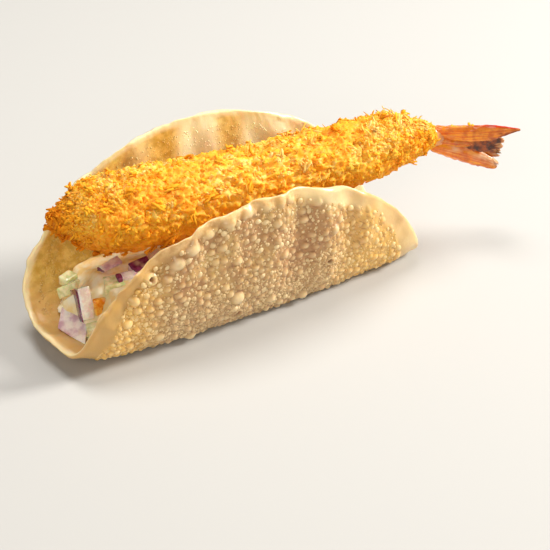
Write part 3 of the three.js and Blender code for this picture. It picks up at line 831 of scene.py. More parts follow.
def serve_domes(name, kinds, beads, squash, seed, side=1):
    """Sets domes on the wrapper's outside, or on its inside with side = -1."""
    rng = np.random.default_rng(seed)
    s, t, radius = np.array(beads).T
    normals = skin_normal(s, t)
    sunk = (HALF_THICK - 0.12 * radius + outer_relief(s, t)[0] if side > 0
            else inner_relief(s, t) + 0.1 * radius - HALF_THICK)
    centres = smooth_skin(s, t) + normals * (sunk + wave(s, t))[:, None]
    sizes = rng.uniform((0.95, 0.9, squash), (1.3, 1.05, squash + 0.25), (len(s), 3))
    axes = lying_on(side * normals, rng, np.zeros(len(s)), radius[:, None] * sizes)
    kept = centres[:, 2] > 0.6 * radius
    layers = places_of(s, t)
    # Beads on the inside take a little more of the ribs' painted light.
    layers["rib"] = np.clip(layers["rib"] + 0.08, 0, 1)
    layers["bubble"] = np.clip(0.8 + rng.normal(0, 0.25, len(s)), 0, 1)
    layers["inside"] = np.full(len(s), float(side < 0))
    layers = {layer: values[kept] for layer, values in layers.items()}
    mesh = strewn(name, kinds, rng, axes[kept], centres[kept], layers)
    serve(name, mesh, bead_finish, "shell")


def frothy(s, t):
    if -2.5 < t < 5 or rim_gap(s, t) < bare_band(s, t) and t < -9:
        return 0
    if s < -20 and math.sin(0.9 * s + 1.3 * math.sin(0.5 * t)) * math.sin(0.8 * t) > 0.25:
        return 0.12
    return (0.1 + 0.9 * lower(t)) * (1 - 0.7 * float(fade(s, 14, 32)))


def inner_frothy(s, t):
    if not 10 < t < 44:
        return 0
    return 1 if s < -24 and t < 30 else 0.7


FROTH, INNER_FROTH = 8100, 3600
froth = fill_between([*blisters, *PUFFS, *pearls], FROTH, (0.15, 0.34, 1.5), 0.62, frothy, 8,
                     tail_end=0.75)
inner_froth = fill_between([], INNER_FROTH, (0.11, 0.24, 2), 0.8, inner_frothy, 9)
serve_domes("wrapper_pearls", [dome(2)], pearls, 0.58, 14)
serve_domes("wrapper_froth", [dome(1)], froth, 0.66, 16)
serve_domes("inner_froth", [dome(1)], inner_froth, 0.3, 17, side=-1)

# %% [markdown]
# ## The prawn's line
# The prawn lies straight in its coat of coarse breadcrumbs, fatter in the middle and blunt at
# the head. A few stations give its height and girth, as in the CAD solid, with a smooth curve
# through them. Whatever belongs to the coat is then placed by two numbers: how far along the
# prawn it is and how far round.
# %% The prawn's line
STATIONS = np.array([
    (-40.2, 27.5, 1.9), (-38.9, 27.0, 3.3), (-36.4, 26.6, 5.3), (-32.7, 26.3, 7.6),
    (-28, 25.8, 8.8), (-21, 25.2, 9.3), (-11, 24.4, 9.2), (2, 24.0, 9.0), (16, 24.2, 8.5),
    (29, 24.7, 8.0), (39, 25.3, 7.1), (46, 25.1, 5.4), (51.5, 23.8, 3.6),
])
PRAWN_HEAD_Y, PRAWN_TAIL_Y = 8, 2
PRAWN_START, PRAWN_LENGTH = STATIONS[0, 0], 91.7
# Where the two ends begin to close, as shares of the length, and how far they bulge.
HEAD_CAP, TAIL_CAP, HEAD_BULGE, TAIL_BULGE = 0.02, 0.985, 1.4, 0.6


def through(values, along):
    """A smooth curve through evenly counted values."""
    last = len(values) - 1
    place = np.clip(along, 0, 1) * last
    i = np.minimum(place.astype(int), last - 1)
    f = (place - i)[:, None]
    a, b, c, d = (values[np.clip(i + k, 0, last)] for k in (-1, 0, 1, 2))
    return 0.5 * (2 * b + (c - a) * f + (2 * a - 5 * b + 4 * c - d) * f * f
                  + (3 * b - a - 3 * c + d) * f**3)


def caps(along, head, tail):
    """How far a place is into each end of a drawn-out ball, and how slim the ends make it."""
    before = np.clip(1 - along / head, 0, 1)
    beyond = np.clip((along - tail) / (1 - tail), 0, 1)
    return before, beyond, np.sqrt(1 - before**2 - beyond**2)


def coat_point(along, around, extra):
    x, z, radius = through(STATIONS, along).T
    y = lerp(PRAWN_HEAD_Y, PRAWN_TAIL_Y, (x - PRAWN_START) / PRAWN_LENGTH)
    before, beyond, slim = caps(along, HEAD_CAP, TAIL_CAP)
    girth = (radius + extra) * slim
    x = x - HEAD_BULGE * before + TAIL_BULGE * beyond
    return rows(x, y + girth * np.cos(around), z + girth * np.sin(around))


def ball(name, around, along):
    """A ball and, for each of its points, how far along and how far round it lies."""
    bm = bmesh.new()
    bmesh.ops.create_uvsphere(bm, u_segments=around, v_segments=along, radius=1)
    mesh = make_mesh(name, bm)
    x, y, z = read(mesh.vertices, "co").T
    return mesh, np.arccos(np.clip(-z, -1, 1)) / np.pi, np.arctan2(y, x)


print("the prawn is", PRAWN_LENGTH, "mm long without its tail")

# %% [markdown]
# ## The crumb coat's body
# The coat's body is a ball drawn out along the prawn, whose poles become the two ends. Crumbs
# mat into clumps, so it bulges round many points, and over them lie thousands of small flakes.
# Each flake tilts its own way, stands at its own height and has one tone, so it reads as a bit
# of bread, which noise alone would not do. A raised flake's tone is paler and a sunk one's darker,
# which is painted light and shade. The underside lay in the oil and came out smoother.
# %% The crumb coat's body
CLUMPS, CLUMP_RISE, CLUMP_RADIUS = 1500, 0.5, 1.5
FLAKES = 9000

k = np.arange(CLUMPS)
clump_tree = finder(coat_point((k + 0.5) / CLUMPS, GOLDEN_ANGLE * k + 0.8 * np.sin(k), 0))
rng = np.random.default_rng(24)
k = np.arange(FLAKES)
flake_along = (k + rng.random(FLAKES)) / FLAKES
flake_places = coat_point(flake_along, GOLDEN_ANGLE * k + 0.5 * rng.random(FLAKES), 0)
flake_lift = rng.uniform(-0.22, 0.3, FLAKES)
flake_tilt = rng.normal(0, 0.33, (FLAKES, 3))
# Raised flakes get a paler tone and sunk ones a darker one: painted light and shade.
flake_tone = rng.normal(0, 0.12, FLAKES) + 0.5 * flake_lift
flake_tree = finder(flake_places)


def flake_at(points):
    return np.array([flake_tree.find(place)[1] for place in points])


def coat_crags(points):
    """How far the crumb mass stands out: rounded clumps under tilted flakes."""
    nearest = np.array([clump_tree.find(place)[2] for place in points])
    clumps = CLUMP_RISE * np.clip(1 - (nearest / CLUMP_RADIUS) ** 2, 0, 1)
    k = flake_at(points + 0.35 * noise(points, 0.8, 26)[:, None])
    flakes = flake_lift[k] + np.sum(flake_tilt[k] * (points - flake_places[k]), 1)
    flakes *= 1 - 0.65 * fade(23 - points[:, 2], 0, 5)
    return (clumps + np.clip(flakes, -0.6, 0.8) + 0.45 * noise(points, 4.0, 21)
            + 0.14 * noise(points, 1.3, 22) + 0.1 * noise(points, 0.6, 23) - 1.3)


coat_mesh, along, around = ball("crumb_coat", 240, 400)
bare = coat_point(along, around, 0)
points = coat_point(along, around, coat_crags(bare))
set_points(coat_mesh, points)


def browning(along, around, points):
    """How dark a place is painted: the underside and the head tip, partly browning and partly
    painted shade, and some browned patches.
    """
    under = fade(-np.sin(around), -0.1, 0.9) * (1 - 0.6 * fade(along, 0.45, 0.75))
    tip = 1 - fade(along, 0.02, 0.14)
    patch = fade(noise(points, 8, 31), 0.2, 0.9)
    return np.clip(0.8 * under + 0.95 * tip + 0.16 * patch, 0, 1)


def pools(points):
    """1 where the crumbs are soaked and glow amber, 0 where they are dry and pale."""
    return fade(noise(points, 4.6, 33) + 0.4 * noise(points, 2, 34), -0.15, 0.75)


# Pale tones are let through only on the top and away from the head, where the lamps fall: painted
# light.
high = fade(np.sin(around), -0.3, 0.7) * fade(along, 0.03, 0.16)
tone = 0.5 - 0.3 * pools(bare) + flake_tone[flake_at(bare)] + 0.1 * noise(bare, 1.2, 32)
paint(coat_mesh, brown=browning(along, around, bare), tone=np.clip(tone, 0, 0.35 + 0.65 * high))
print("crumb coat spans", points.min(0).round(1), points.max(0).round(1))

# %% [markdown]
# ## The coat's finish
# Breadcrumbs fry to a deep golden yellow that glows, since light runs about inside the mass, and
# crumbs on the top, where the lamps fall, are painted nearly cream, which is painted light. Each
# crumb carries a tone of its own, and the darker underside and tip, partly browning and partly
# painted shade, are painted over all of them. The mass lets light through. The crumbs on it do
# not, as they are too thin for that kind of light to stay clean in them.
# %% The coat's finish
def crumb_colours(finish_name, **values):
    finish, tree, shader = new_finish(finish_name)
    tone = put(tree, "ShaderNodeValToRGB", {"Fac": painted(tree, "tone")})
    stops = tone.color_ramp.elements
    stops[0].position, stops[0].color = 0.05, tint(244, 150, 8)
    stops[1].position, stops[1].color = 0.95, tint(253, 218, 134)
    stops.new(0.5).color = tint(252, 180, 44)
    grain = blotches(tree, 0.35, 0.68, 0.8, 3)
    golden = blended(tree, grain, tone.outputs[0], (252, 189, 68))
    golden = blended(tree, 0.3, tone.outputs[0], golden)
    deep = blended(tree, grain, (206, 94, 0), (236, 136, 8))
    # The brown layer darkens the underside and head tip, partly browning and partly painted shade.
    colour = blended(tree, partly(tree, "brown", 0.85), golden, deep)
    set_shader(shader, Base_Color=colour, **values)
    return finish, tree, shader


crumb_finish = crumb_colours("fried_crumb", Roughness=0.7, Specular_IOR_Level=0.08)[0]
mass_finish, tree, shader = crumb_colours(
    "crumb_mass", Roughness=0.55, Subsurface_Weight=0.7, Subsurface_Scale=1.2 * MM,
    Subsurface_Radius=(1.0, 0.6, 0.2), Specular_IOR_Level=0.25)
roughened(tree, shader, 0.1, 0.5, 0.45, 3, 0.6)
serve("crumb_coat", coat_mesh, mass_finish, "prawn")

# %% [markdown]
# ## Kinds of crumbs
# The breadcrumbs are shreds of dried bread, a millimetre or two long and much thinner, with
# specks between. A shred is a three-sided bar, cut across, thinned at its ends and bent, and a
# speck is a small ball pulled out of shape. A few of each are enough, since every copy is turned
# and sized anew.
# %% Kinds of crumbs
def shred(seed, cuts):
    """A bent splinter one unit long, wide and thick."""
    rng = np.random.default_rng(seed)
    bm = bmesh.new()
    bmesh.ops.create_cone(bm, cap_ends=True, segments=3, radius1=0.55, radius2=0.55, depth=1)
    bmesh.ops.rotate(bm, verts=bm.verts, matrix=Matrix.Rotation(math.pi / 2, 3, "Y"))
    for cut in range(1, cuts + 1):
        sliced(bm, (cut / (cuts + 1) - 0.5, 0, 0), (1, 0, 0))
    arch, sway = rng.uniform(-0.5, 1.6), rng.uniform(-1.2, 1.2)
    for vert in bm.verts:
        x, y, z = vert.co
        slim = 1 - 0.5 * abs(2 * x) ** 2
        pull = rng.normal(0, 0.16, 3)
        vert.co = Vector((x + 0.06 * pull[0], y * slim + pull[1] + sway * (x * x - 0.1),
                          z * slim + pull[2] - arch * (x * x - 0.1)))
    return prototype(bm)


def speck(seed):
    rng = np.random.default_rng(seed)
    bm = bmesh.new()
    bmesh.ops.create_icosphere(bm, subdivisions=1, radius=0.5)
    for vert in bm.verts:
        vert.co *= rng.uniform(0.6, 1.35)
    return prototype(bm)


long_kinds = [shred(50 + k, 3) for k in range(7)]
short_kinds = [shred(70 + k, 1) for k in range(7)]
speck_kinds = [speck(60 + k) for k in range(4)]
print(len(long_kinds) + len(short_kinds), "kinds of shreds and", len(speck_kinds), "of specks")

# %% [markdown]
# ## Tufts on the coat
# Where the CAD solid has a large crumb of its own there is a tuft of shreds, each turned a
# little away from that crumb's line. Every crumb gets a tone: amber in the pools where oil
# soaked in, and pale only on the top and away from the head, where the lamps fall, which is
# painted light. A darker underside and head tip, partly browning and partly painted shade, is
# painted over that.
# %% Tufts on the coat
def serve_crumbs(name, kinds, along, axes, places, rng, pale=0.0):
    """Joins crumbs and paints each with its tone and its share of browning."""
    tone = 0.5 - 0.4 * pools(places) + 0.32 * noise(places, 2.4, 36) + pale
    tone += 0.13 * rng.normal(size=len(places))
    around = np.arctan2(places[:, 2] - 25, places[:, 1] - 6)
    # Pale tones are let through only on the top and away from the head, where the lamps fall:
    # painted light.
    high = fade(np.sin(around), -0.2, 0.75) * fade(along, 0.08, 0.32)
    tone = np.where(rng.random(len(places)) < 0.97, np.minimum(tone, 0.36 + 0.64 * high), tone)
    # The brown layer is partly browning and partly painted shade, with browned patches added.
    brown = browning(along, around, places) * rng.uniform(0.7, 1, len(places))
    brown = np.clip(brown + 0.15 * fade(-noise(places, 2.4, 36), 0.1, 0.8), 0, 1)
    layers = {"tone": np.clip(tone, 0, 1), "brown": brown}
    mesh = strewn(name, kinds, rng, axes, places, layers)
    serve(name, mesh, crumb_finish, "prawn")


TUFTS, SHREDS_PER_TUFT = 134, 6
draw, rng = repeatable(23), np.random.default_rng(71)
tufts = []
for k in range(TUFTS):
    along = lerp(0.015, 0.97, (k + draw()) / TUFTS)
    around = GOLDEN_ANGLE * k + 0.5 * draw()
    upward = max(0, math.sin(around)) * float(fade(along, 0.55, 0.85))
    length, _ = lerp(2.6, 5, draw()), draw()
    tip = lerp(0.12, 0.35 + 0.6 * upward, draw())
    turned = (Matrix.Rotation(around - math.pi / 2, 3, "X")
              @ Matrix.Rotation(2 * math.pi * draw(), 3, "Z") @ Matrix.Rotation(tip, 3, "Y"))
    heart = coat_point(np.array([along]), np.array([around]), -0.55)[0]
    for _ in range(SHREDS_PER_TUFT):
        own = np.array(turned @ Matrix.Rotation(rng.normal(0, 0.35), 3, "Z")
                       @ Matrix.Rotation(rng.normal(0, 0.28), 3, "Y"))
        long = length * rng.uniform(0.35, 0.8)
        slide = rng.uniform(-0.3, 0.3) * (length - long)
        side = own[:, 1] * rng.normal(0, 0.32) + own[:, 2] * rng.normal(0, 0.2)
        sizes = (long, rng.uniform(0.5, 1.0), rng.uniform(0.25, 0.45))
        tufts.append((along, own * sizes, heart + own[:, 0] * slide + side))
serve_crumbs("crumb_tufts", long_kinds, *(np.array(part) for part in zip(*tufts)), rng, 0.05)

# %% [markdown]
# ## Crumbs all over the coat
# The others are strewn evenly round the coat by the golden angle, which never lines up in rows.
# Most keep off the pools of oil, where the bare mass shows, and off the underside. Flat ones come
# first, then shreds and fine crumbs, and some long shreds stand up towards the tail.
# %% Crumbs all over the coat
def strew_on_coat(name, kinds, count, spans, tips, sunk, seed, pale,
                  ends=(0.004, 0.989), sector=None):
    """Strews crumbs, given their spans of length, width and thickness, round the coat."""
    rng = np.random.default_rng(seed)
    k = np.arange(count)
    along = lerp(*ends, (k + rng.random(count)) / count)
    around = GOLDEN_ANGLE * k + 0.6 * rng.random(count)
    if sector:
        around = lerp(*sector, rng.random(count))
    bare = coat_point(along, around, 0)
    places = coat_point(along, around, coat_crags(bare) - sunk)
    sizes = rows(*(rng.uniform(*span, count) for span in spans))
    normals = rows(fade(along, 0, 0.06) - 1, np.cos(around), np.sin(around))
    axes = lying_on(unit(normals), rng, rng.uniform(*tips, count), sizes)
    under = fade(-np.sin(around), 0, 0.75) * fade(along, 0.02, 0.08)
    front = fade(-np.sin(around), -0.75, -0.1) * (1 - fade(along, 0.2, 0.5))
    bald = 0.75 * pools(bare) + under + 0.7 * front
    kept = rng.random(count) > np.minimum(bald, 0.95)
    serve_crumbs(name, kinds, along[kept], axes[kept], places[kept], rng, pale)


for crumbs in (
    ("flat_crumbs", speck_kinds, 1500, ((0.7, 1.4), (0.5, 0.9), (0.26, 0.42)),
     (0.0, 0.4), 0.0, 4, 0.1),
    ("long_shreds", long_kinds, 800, ((1.0, 1.9), (0.3, 0.6), (0.16, 0.3)),
     (0.0, 0.4), -0.08, 5, 0.2),
    ("short_shreds", short_kinds, 2400, ((0.5, 1.1), (0.28, 0.55), (0.16, 0.3)),
     (0.0, 0.5), -0.06, 6, 0.12),
    ("fine_crumbs", speck_kinds, 4500, ((0.3, 0.8), (0.25, 0.6), (0.22, 0.45)),
     (0.0, 0.8), -0.03, 7, 0.06),
    ("standing_shreds", long_kinds, 90, ((1.6, 3.0), (0.35, 0.8), (0.16, 0.3)),
     (0.4, 1.1), -0.4, 8, 0.25, (0.6, 0.95), (0.9, 2.2)),
):
    strew_on_coat(*crumbs)

# %% [markdown]
# ## The tail shell's blades
# A prawn's tail is a fan of horny blades that has fried glossy and brittle: fine ribs run along
# each, and its end is broken to a ragged edge. A blade is again a drawn-out ball, flattened into
# a leaf. The blades and the root are separate closed bodies joined into one piece.
# %% The tail shell's blades
TAIL_ROOT, TAIL_NECK = np.array([48.5, 2.3, 24.2]), np.array([53.6, 1.2, 23.3])
FAN_FACE = np.array([0.58, 0.8, 0.1])
# Lift at the root, tip, half width, thickness, sag and how far it keeps its full width. Then how
# ragged its end is, how dark its painted shade is, how much whitish painted sheen it has and how
# red it is.
BLADES = (
    (1.5, (66.6, -10.9, 27.2), 2.1, 0.7, 0.7, 0.66, 0.5, 0.1, 0, 1),
    (0.9, (65.4, -7.6, 22.6), 3.1, 0.45, 0.3, 0.95, 1.2, 1, 0, 0),
    (-0.8, (66.6, -5.9, 18.6), 2.3, 0.45, -0.2, 0.95, 1.2, 0.75, 0, 0),
    (-1.5, (65.8, -6.0, 15.9), 2.1, 1.1, -0.2, 0.92, 0.9, 0, 0.9, 0.25),
    (0, (61.6, -4.4, 21.6), 1.2, 1.1, 0, 0.5, 0, 0.3, 0.2, 0),
)
RIB_COUNT, RIB_HEIGHT = 9, 0.065


def blade_line(lift, tip):
    """A blade's root, its reach and the direction across it."""
    root = TAIL_NECK + (-1.6, 0.5, lift)
    reach = np.array(tip) - root
    return root, reach, unit(np.cross(FAN_FACE, reach))


def blade(number, lift, tip, half, thick, sag, full, ragged, dusk, pale, red):
    mesh, along, around = ball("blade", 56, 90)
    root, reach, edge = blade_line(lift, tip)
    run = unit(reach)
    swell = 0.5 + 0.5 * np.sin(np.pi * np.minimum(1, 0.15 + 0.75 * along))
    narrow = 1 - fade(along, full, 1.15)
    ends = caps(along, 0.05, 0.96)[2]
    across, face = np.cos(around), np.sign(np.sin(around))
    lengthwise = rows(across * 4.2, along * 1.4, number)
    grain = noise(lengthwise, 0.5, number) + 0.5 * noise(lengthwise, 0.22, number + 9)
    width = half * swell * narrow * ends * (1 + 0.05 * noise(rows(along * 40, 0, 0), 1.6, number))
    depth = thick * (1.5 - along) * np.sqrt(narrow) * ends
    ribs = RIB_HEIGHT * np.cos(across * np.pi * RIB_COUNT + 2.6 * grain) * (1 - across**2) * ends
    rough = 0.12 * noise(rows(along * 18, across * 3, face), 1, number)
    flat = face * (depth * abs(np.sin(around)) + ribs + rough * ends)
    # The end is broken to teeth, as some strips reach less far than others.
    teeth = abs(noise(rows(across * 3, 0, 7), 0.7, number))
    short = ragged * 1.8 * teeth * fade(along, 0.6, 1)
    centre = root + reach * (along * 1.02 - 0.02)[:, None] - run * short[:, None]
    points = centre + edge * (width * across + sag * np.sin(np.pi * along))[:, None]
    set_points(mesh, points + unit(np.cross(run, edge)) * flat[:, None])
    lumps = noise(rows(along * 18, across * 3, 0), 1.4, number + 3)
    scorched = red * fade(across + 0.5 * lumps, 0.1, 0.8) * fade(along, 0.55, 0.8)
    # A blade that lies behind another is painted dark, as painted shade; the same layer holds
    # scorch marks.
    behind = dusk * fade(along + 0.12 * lumps, 0.3, 0.6)
    # A whitish painted sheen along the upper side of the lower blades.
    oily = pale * fade(-across, -0.4, 0.5) * fade(along, 0.1, 0.3)
    paint(mesh, ribs=grain, dusk=np.maximum(behind, 0.8 * scorched),
          pale=oily * np.clip(0.6 + 0.7 * lumps, 0, 1),
          red=red * fade(-across, 0.6, 0.95) * fade(along, 0.35, 0.7),
          clear=fade(along, 0.93, 0.99) * dusk)
    return mesh


def tail_stub():
    mesh, along, around = ball("stub", 40, 30)
    ends = caps(along, 0.15, 0.75)[2]
    centre = TAIL_ROOT + (TAIL_NECK - TAIL_ROOT) * (along * 1.25 - 0.1)[:, None]
    wide, tall = lerp(2.3, 1.9, along) * ends, lerp(2.7, 2.3, along) * ends
    set_points(mesh, centre + rows(0, wide * np.cos(around), tall * np.sin(around)))
    paint(mesh, ribs=0.2, dusk=0, pale=0.35, red=0, clear=0)
    return mesh


def welded(name, meshes):
    """Joins finished meshes into one, with what is painted on them."""
    joined = bmesh.new()
    for mesh in meshes:
        joined.from_mesh(mesh)
        bpy.data.meshes.remove(mesh)
    return make_mesh(name, joined)


tail_mesh = welded("tail_shell", [tail_stub()] + [blade(k, *b) for k, b in enumerate(BLADES)])
print("root and", len(BLADES), "blades in", len(tail_mesh.vertices), "points")

# %% [markdown]
# ## The tail's finish
# The shell is clear and brown like dark amber and red along the tip of its upper edge. A whitish
# painted sheen lies along the thick lower blade, and painted shade makes a blade almost black
# where it lies behind another, in the same layer as a few scorch marks. Its gloss comes from a
# hard, smooth coat. A few crumbs of the coat stick to the upper blade.
# %% The tail's finish
tail_finish, tree, shader = new_finish("fried_tail_shell")
streaks = spread(tree, painted(tree, "ribs"), -1.3, 1.1)
blotch = blotches(tree, 0.38, 0.66, 1.6, 4)
amber = blended(tree, streaks, (232, 98, 0), (255, 168, 30))
amber = blended(tree, blotch, amber, blended(tree, 0.6, amber, (196, 68, 0)))
# Over the amber go a red edge, a whitish painted sheen, near black painted shade where a blade
# lies behind another, with scorch marks in the same layer, and a clear end.
amber = layered(tree, amber, red=(222, 60, 30),
                pale=blended(tree, streaks, (226, 150, 96), (250, 214, 178)),
                dusk=blended(tree, blotch, (168, 78, 10), (66, 28, 8)), clear=(214, 150, 96))
set_shader(shader, Base_Color=amber, Roughness=0.24, Subsurface_Weight=0.1,
           Subsurface_Scale=0.5 * MM, Subsurface_Radius=(1.0, 0.5, 0.2),
           Specular_IOR_Level=0.3, Coat_Weight=0.4, Coat_Roughness=0.06)
roughened(tree, shader, 0.1, 0.6, 0.5, 3)
serve("tail_shell", tail_mesh, tail_finish, "prawn_tail")

rng = np.random.default_rng(91)
lift, tip, half = BLADES[0][:3]
root, reach, edge = blade_line(lift, tip)
upper_edge = root + 0.6 * half * np.sign(edge[2]) * edge
shares = np.array([0.1, 0.13, 0.17, 0.22, 0.27, 0.41, 0.44])
stuck = upper_edge + reach * shares[:, None]
stuck += rng.normal(0, 0.2, stuck.shape)
stuck_axes = lying_on(np.tile((0.0, -0.3, 1.0), (len(stuck), 1)), rng, np.zeros(len(stuck)),
                      rng.uniform((0.6, 0.4, 0.4), (1.3, 0.8, 0.6), stuck.shape))
serve_crumbs("stuck_crumbs", speck_kinds, np.full(len(stuck), 0.9), stuck_axes, stuck, rng)

# %% [markdown]
# ## The dressing
# The salad is one heap, bound by a thick ivory dressing. The CAD solid of the heap already fits
# the wrapper and the prawn, so a merged copy of it is melted: a voxel remesh turns its flat
# facets into an even skin, and smoothing lets the dressing run into the corners between pieces.
# %% The dressing
MELT_VOXEL, MELT_STEPS = 0.42 * MM, 7

lump_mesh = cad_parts["salad"].data.copy()
edited(lump_mesh, bmesh.ops.remove_doubles, "verts", dist=1e-6)
lump = bpy.data.objects.new("dressing", lump_mesh)
scene.collection.objects.link(lump)
melt, soften = lump.modifiers.new("melt", "REMESH"), lump.modifiers.new("run", "SMOOTH")
melt.mode, melt.voxel_size = "VOXEL", MELT_VOXEL
soften.factor, soften.iterations = 0.5, MELT_STEPS
finished = lump.evaluated_get(bpy.context.evaluated_depsgraph_get())
dressing_mesh = bpy.data.meshes.new_from_object(finished)
bpy.data.objects.remove(lump)
turn_outward(dressing_mesh)

points = read(dressing_mesh.vertices, "co") / MM
runs = 0.22 * noise(points, 2.6, 41) + 0.07 * noise(points, 1.0, 42) - 0.38
runs -= 0.3 * fade(points[:, 0], 8, 26)
normals = read(dressing_mesh.vertex_normals, "vector")
set_points(dressing_mesh, points + normals * runs[:, None])

dressing_finish, tree, shader = new_finish("ivory_dressing")
ivory = blended(tree, blotches(tree, 0.38, 0.66, 3.5), (248, 214, 146), (255, 242, 212))
ivory = blended(tree, blotches(tree, 0.58, 0.74, 4.6, 2), ivory, (222, 214, 156))
set_shader(shader, Base_Color=ivory, Roughness=0.24, Subsurface_Weight=0.4,
           Subsurface_Scale=1.6 * MM, Subsurface_Radius=(1.0, 0.7, 0.4),
           Coat_Weight=0.4, Coat_Roughness=0.1)
serve("dressing", dressing_mesh, dressing_finish, "salad")

# %% [markdown]
# ## Blocks and plates
# Each vegetable that shows is a small block, given by its centre and three edges, with its
# corners pulled a little out of true and its edges rounded. Red onion has a thin purple skin on
# one face, made as a thin plate, so that the colour ends as sharply as it does on the real one.
# %% Blocks and plates
def diced(centre, edges, seed, rounding):
    """A block of vegetable as a mesh in millimetres."""
    rng = np.random.default_rng(seed)
    edges = [Vector(edge) for edge in edges]
    lengths = [edge.length for edge in edges]
    bm = bmesh.new()
    bmesh.ops.create_cube(bm, size=1)
    for vert in bm.verts:
        vert.co += Vector(rng.normal(0, 0.04, 3))
    bmesh.ops.scale(bm, verts=bm.verts, vec=lengths)
    bmesh.ops.bevel(bm, geom=bm.edges[:], offset=rounding * min(lengths), segments=2,
                    profile=0.5, affect="EDGES", material=-1)
    bmesh.ops.subdivide_edges(bm, edges=bm.edges[:], cuts=3, use_grid_fill=True)
    flat = np.array([vert.co for vert in bm.verts])
    push = 0.1 * noise(flat, 1.6, seed) + 0.04 * noise(flat, 0.6, seed)
    bm.normal_update()
    for vert, amount in zip(bm.verts, push * min(1, min(lengths))):
        vert.co += vert.normal * amount
    turned = Matrix([edge.normalized() for edge in edges]).transposed().to_4x4()
    bmesh.ops.transform(bm, matrix=Matrix.Translation(centre) @ turned, verts=bm.verts)
    return make_mesh("piece", bm)


def serve_diced(name, finish, blocks, first_seed, rounding=0.14):
    mesh = welded(name, [diced(centre, edges, first_seed + k, rounding)
                         for k, (centre, edges) in enumerate(blocks)])
    set_points(mesh, read(mesh.vertices, "co"))
    serve(name, mesh, finish, "salad")


def plate(centre, edges, axis, face, thick):
    """The skin of a block: a thin plate on the given face."""
    edges = [np.array(edge) for edge in edges]
    out = face * unit(edges[axis])
    middle = np.array(centre) + face * edges[axis] / 2 + out * (0.3 * thick)
    edges[axis] = out * thick
    return middle, edges

# %% [markdown]
# ## Where the pieces stand
# The pieces at the open end are set one by one and the rest are scattered over the heap, each
# where the CAD heap has it. All are a touch larger than there, so that they stand proud of the
# dressing.
# %% Where the pieces stand
PROUD = 1.05
# Kind, centre, the three edges, and the skin's axis, face and thickness where there is one.
HEAD_BLOCKS = (
    ("onion", (-36.1, 3.9, 9.1), ((2.6, -0.3, 0.35), (0.85, 3.9, -2.5), (0.6, 3.3, 5.2)),
     0, -1, 0.22),
    ("dressed", (-37.2, 5.0, 6.9), ((-2.8, 1.8, -3.2), (-0.8, -3.4, -5.3), (-2.3, -1.4, 1.25))),
    ("lilac", (-39.1, 2.6, 5.3), ((2.3, -6.2, -1.2), (-2.5, -2.6, -2.8), (0.6, 0.4, -1.0)),
     1, -1, 0.5),
    ("cucumber", (-35.1, 10.8, 8.5), ((2.5, -2.6, 2.2), (0.1, -1.2, -1.8), (2.2, 1.4, -0.8))),
    ("cucumber", (-34.4, 12.9, 9.3), ((2.9, 0.6, 0.4), (-0.6, 2.6, 0), (0, 0, 2.1))),
    ("carrot", (-33.8, 2.4, 9.0), ((2.3, 0, 0.3), (0.5, 3.6, -0.9), (0, 0.6, 3.2))),
    ("cucumber", (-36.2, -0.5, 5.2), ((3.0, -0.6, 0.4), (0.6, 2.8, 0.3), (0, 0, 2.6))),
    ("cucumber", (-29.9, 2.0, 12.3), ((4.0, -1.5, 0.3), (1.0, 3.0, 0.4), (0, 0, 2.6))),
    ("lilac", (-26.9, 1.3, 13.3), ((3.2, -0.6, 0.2), (0.5, 2.0, 0.2), (0, 0.3, 2.4)), 0, -1, 1.1),
    ("lilac", (-23.5, 2.9, 13.3), ((4.4, 0.3, 0), (0, 2.6, 0.6), (0.2, -0.4, 2.4)), 2, 1, 0.5),
    ("onion", (-19.3, 4.4, 13.4), ((4.4, 0.6, 0.3), (-0.4, 2.6, 0.4), (0, -0.4, 2.2))),
    ("lilac", (-27.6, 7.2, 12.9), ((4.6, 0.9, 0.3), (-0.4, 1.9, 0.2), (0, 0.4, 2.0)), 0, -1, 0.35),
)
blocks = {kind: [] for kind in ("onion", "lilac", "dressed", "cucumber", "carrot", "skin")}


def stand(kind, centre, edges, *skin):
    """Notes where a block stands, and its skin where it has one."""
    edges = [PROUD * np.array(edge) for edge in edges]
    blocks[kind].append((centre, edges))
    if skin:
        blocks["skin"].append(plate(centre, edges, *skin))


def heap_height(x, y):
    drawn_back = 0.35 * max(0, y - 1) + 0.9 * max(0, 4 - y)
    fall = 0.3 * max(0, y - 4)
    head_end = float(fade(x, -42.2 + drawn_back, -35 + drawn_back))
    tail_end = 1 - float(fade(x, 30, 38))
    lumps = math.sin(0.71 * x + 0.4) * math.cos(0.63 * y) + 0.6 * math.sin(1.3 * x - 0.9 * y)
    niche = 3.5 * math.exp(-((x + 34.6) ** 2 + (y - 0.2) ** 2) / 2.6**2)
    return lerp(3.6, 14.2 - fall, head_end * tail_end) + 0.7 * lumps - niche * head_end


for block in HEAD_BLOCKS:
    stand(*block)

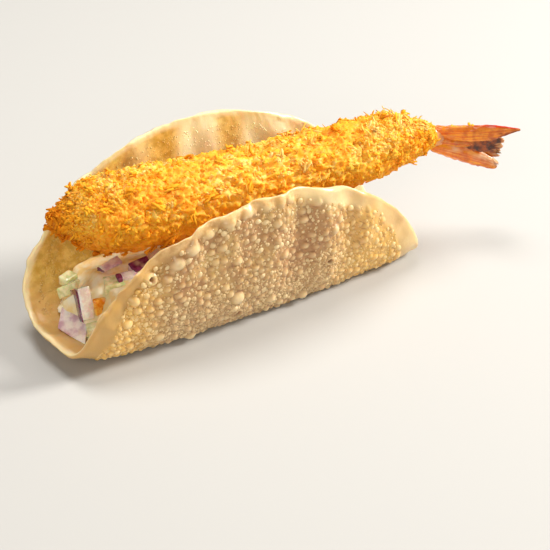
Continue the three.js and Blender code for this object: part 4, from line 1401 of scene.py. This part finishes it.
SCATTERED = 20
draw = repeatable(71)
for k in range(SCATTERED):
    x = lerp(-20, 35.5, (k + draw()) / SCATTERED)
    y = lerp(-7, 15, draw())
    size = lerp(5.2, 2.8, k / SCATTERED)
    sizes = np.array((size, size * lerp(0.6, 1, draw()), size * lerp(0.5, 0.9, draw())))
    turn_x, turn_y, turn_z = (math.radians(span * draw()) for span in (50, 50, 180))
    turned = np.array(Matrix.Rotation(turn_z, 3, "Z") @ Matrix.Rotation(turn_y, 3, "Y")
                      @ Matrix.Rotation(turn_x, 3, "X"))
    place = (x, y, heap_height(x, y) - 0.15 * size)
    kind = ("lilac", "cucumber", "onion", "carrot")[k % 4]
    stand(kind, place, (turned * sizes).T, *((1, 1, 0.35) if kind == "lilac" else ()))
print({kind: len(standing) for kind, standing in blocks.items()})

# %% [markdown]
# ## Finishes of the vegetables
# Cut vegetables are wet and a little clear: pale onion, lilac under its purple skin, pale green
# cucumber and orange carrot. One function makes all these finishes from two colours in a fine
# grain, with a film of dressing in patches over it.
# %% Finishes of the vegetables
def wet_finish(name, first, second, grain_mm, runs):
    finish, tree, shader = new_finish(name)
    flesh = blended(tree, blotches(tree, 0.35, 0.66, grain_mm, 4), first, second)
    film = blended(tree, 0.4, flesh, (248, 222, 172))
    flesh = blended(tree, blotches(tree, 0.5, 0.7, 3.2, 2), flesh, film)
    set_shader(shader, Base_Color=flesh, Roughness=0.24, Subsurface_Weight=runs,
               Subsurface_Scale=1.4 * MM, Coat_Weight=0.5, Coat_Roughness=0.08)
    roughened(tree, shader, 0.08, 0.5, 0.6, 3)
    return finish


for name, kind, first_seed, rounding, *finish in (
    ("diced_onion", "onion", 100, 0.14, "white_onion", (240, 214, 204), (255, 246, 232), 0.9, 0.5),
    ("diced_red_onion", "lilac", 130, 0.14, "red_onion", (206, 164, 176), (248, 232, 222), 2.4,
     0.5),
    ("onion_skin", "skin", 160, 0.3, "onion_skin", (96, 26, 62), (132, 56, 92), 1.0, 0.1),
    ("diced_cucumber", "cucumber", 190, 0.14, "cucumber", (206, 208, 144), (244, 238, 192), 1.3,
     0.5),
    ("diced_carrot", "carrot", 220, 0.14, "carrot", (232, 132, 20), (252, 186, 70), 0.9, 0.3),
):
    serve_diced(name, wet_finish(*finish), blocks[kind], first_seed, rounding)
serve_diced("dressed_wedge", dressing_finish, blocks["dressed"], 250)
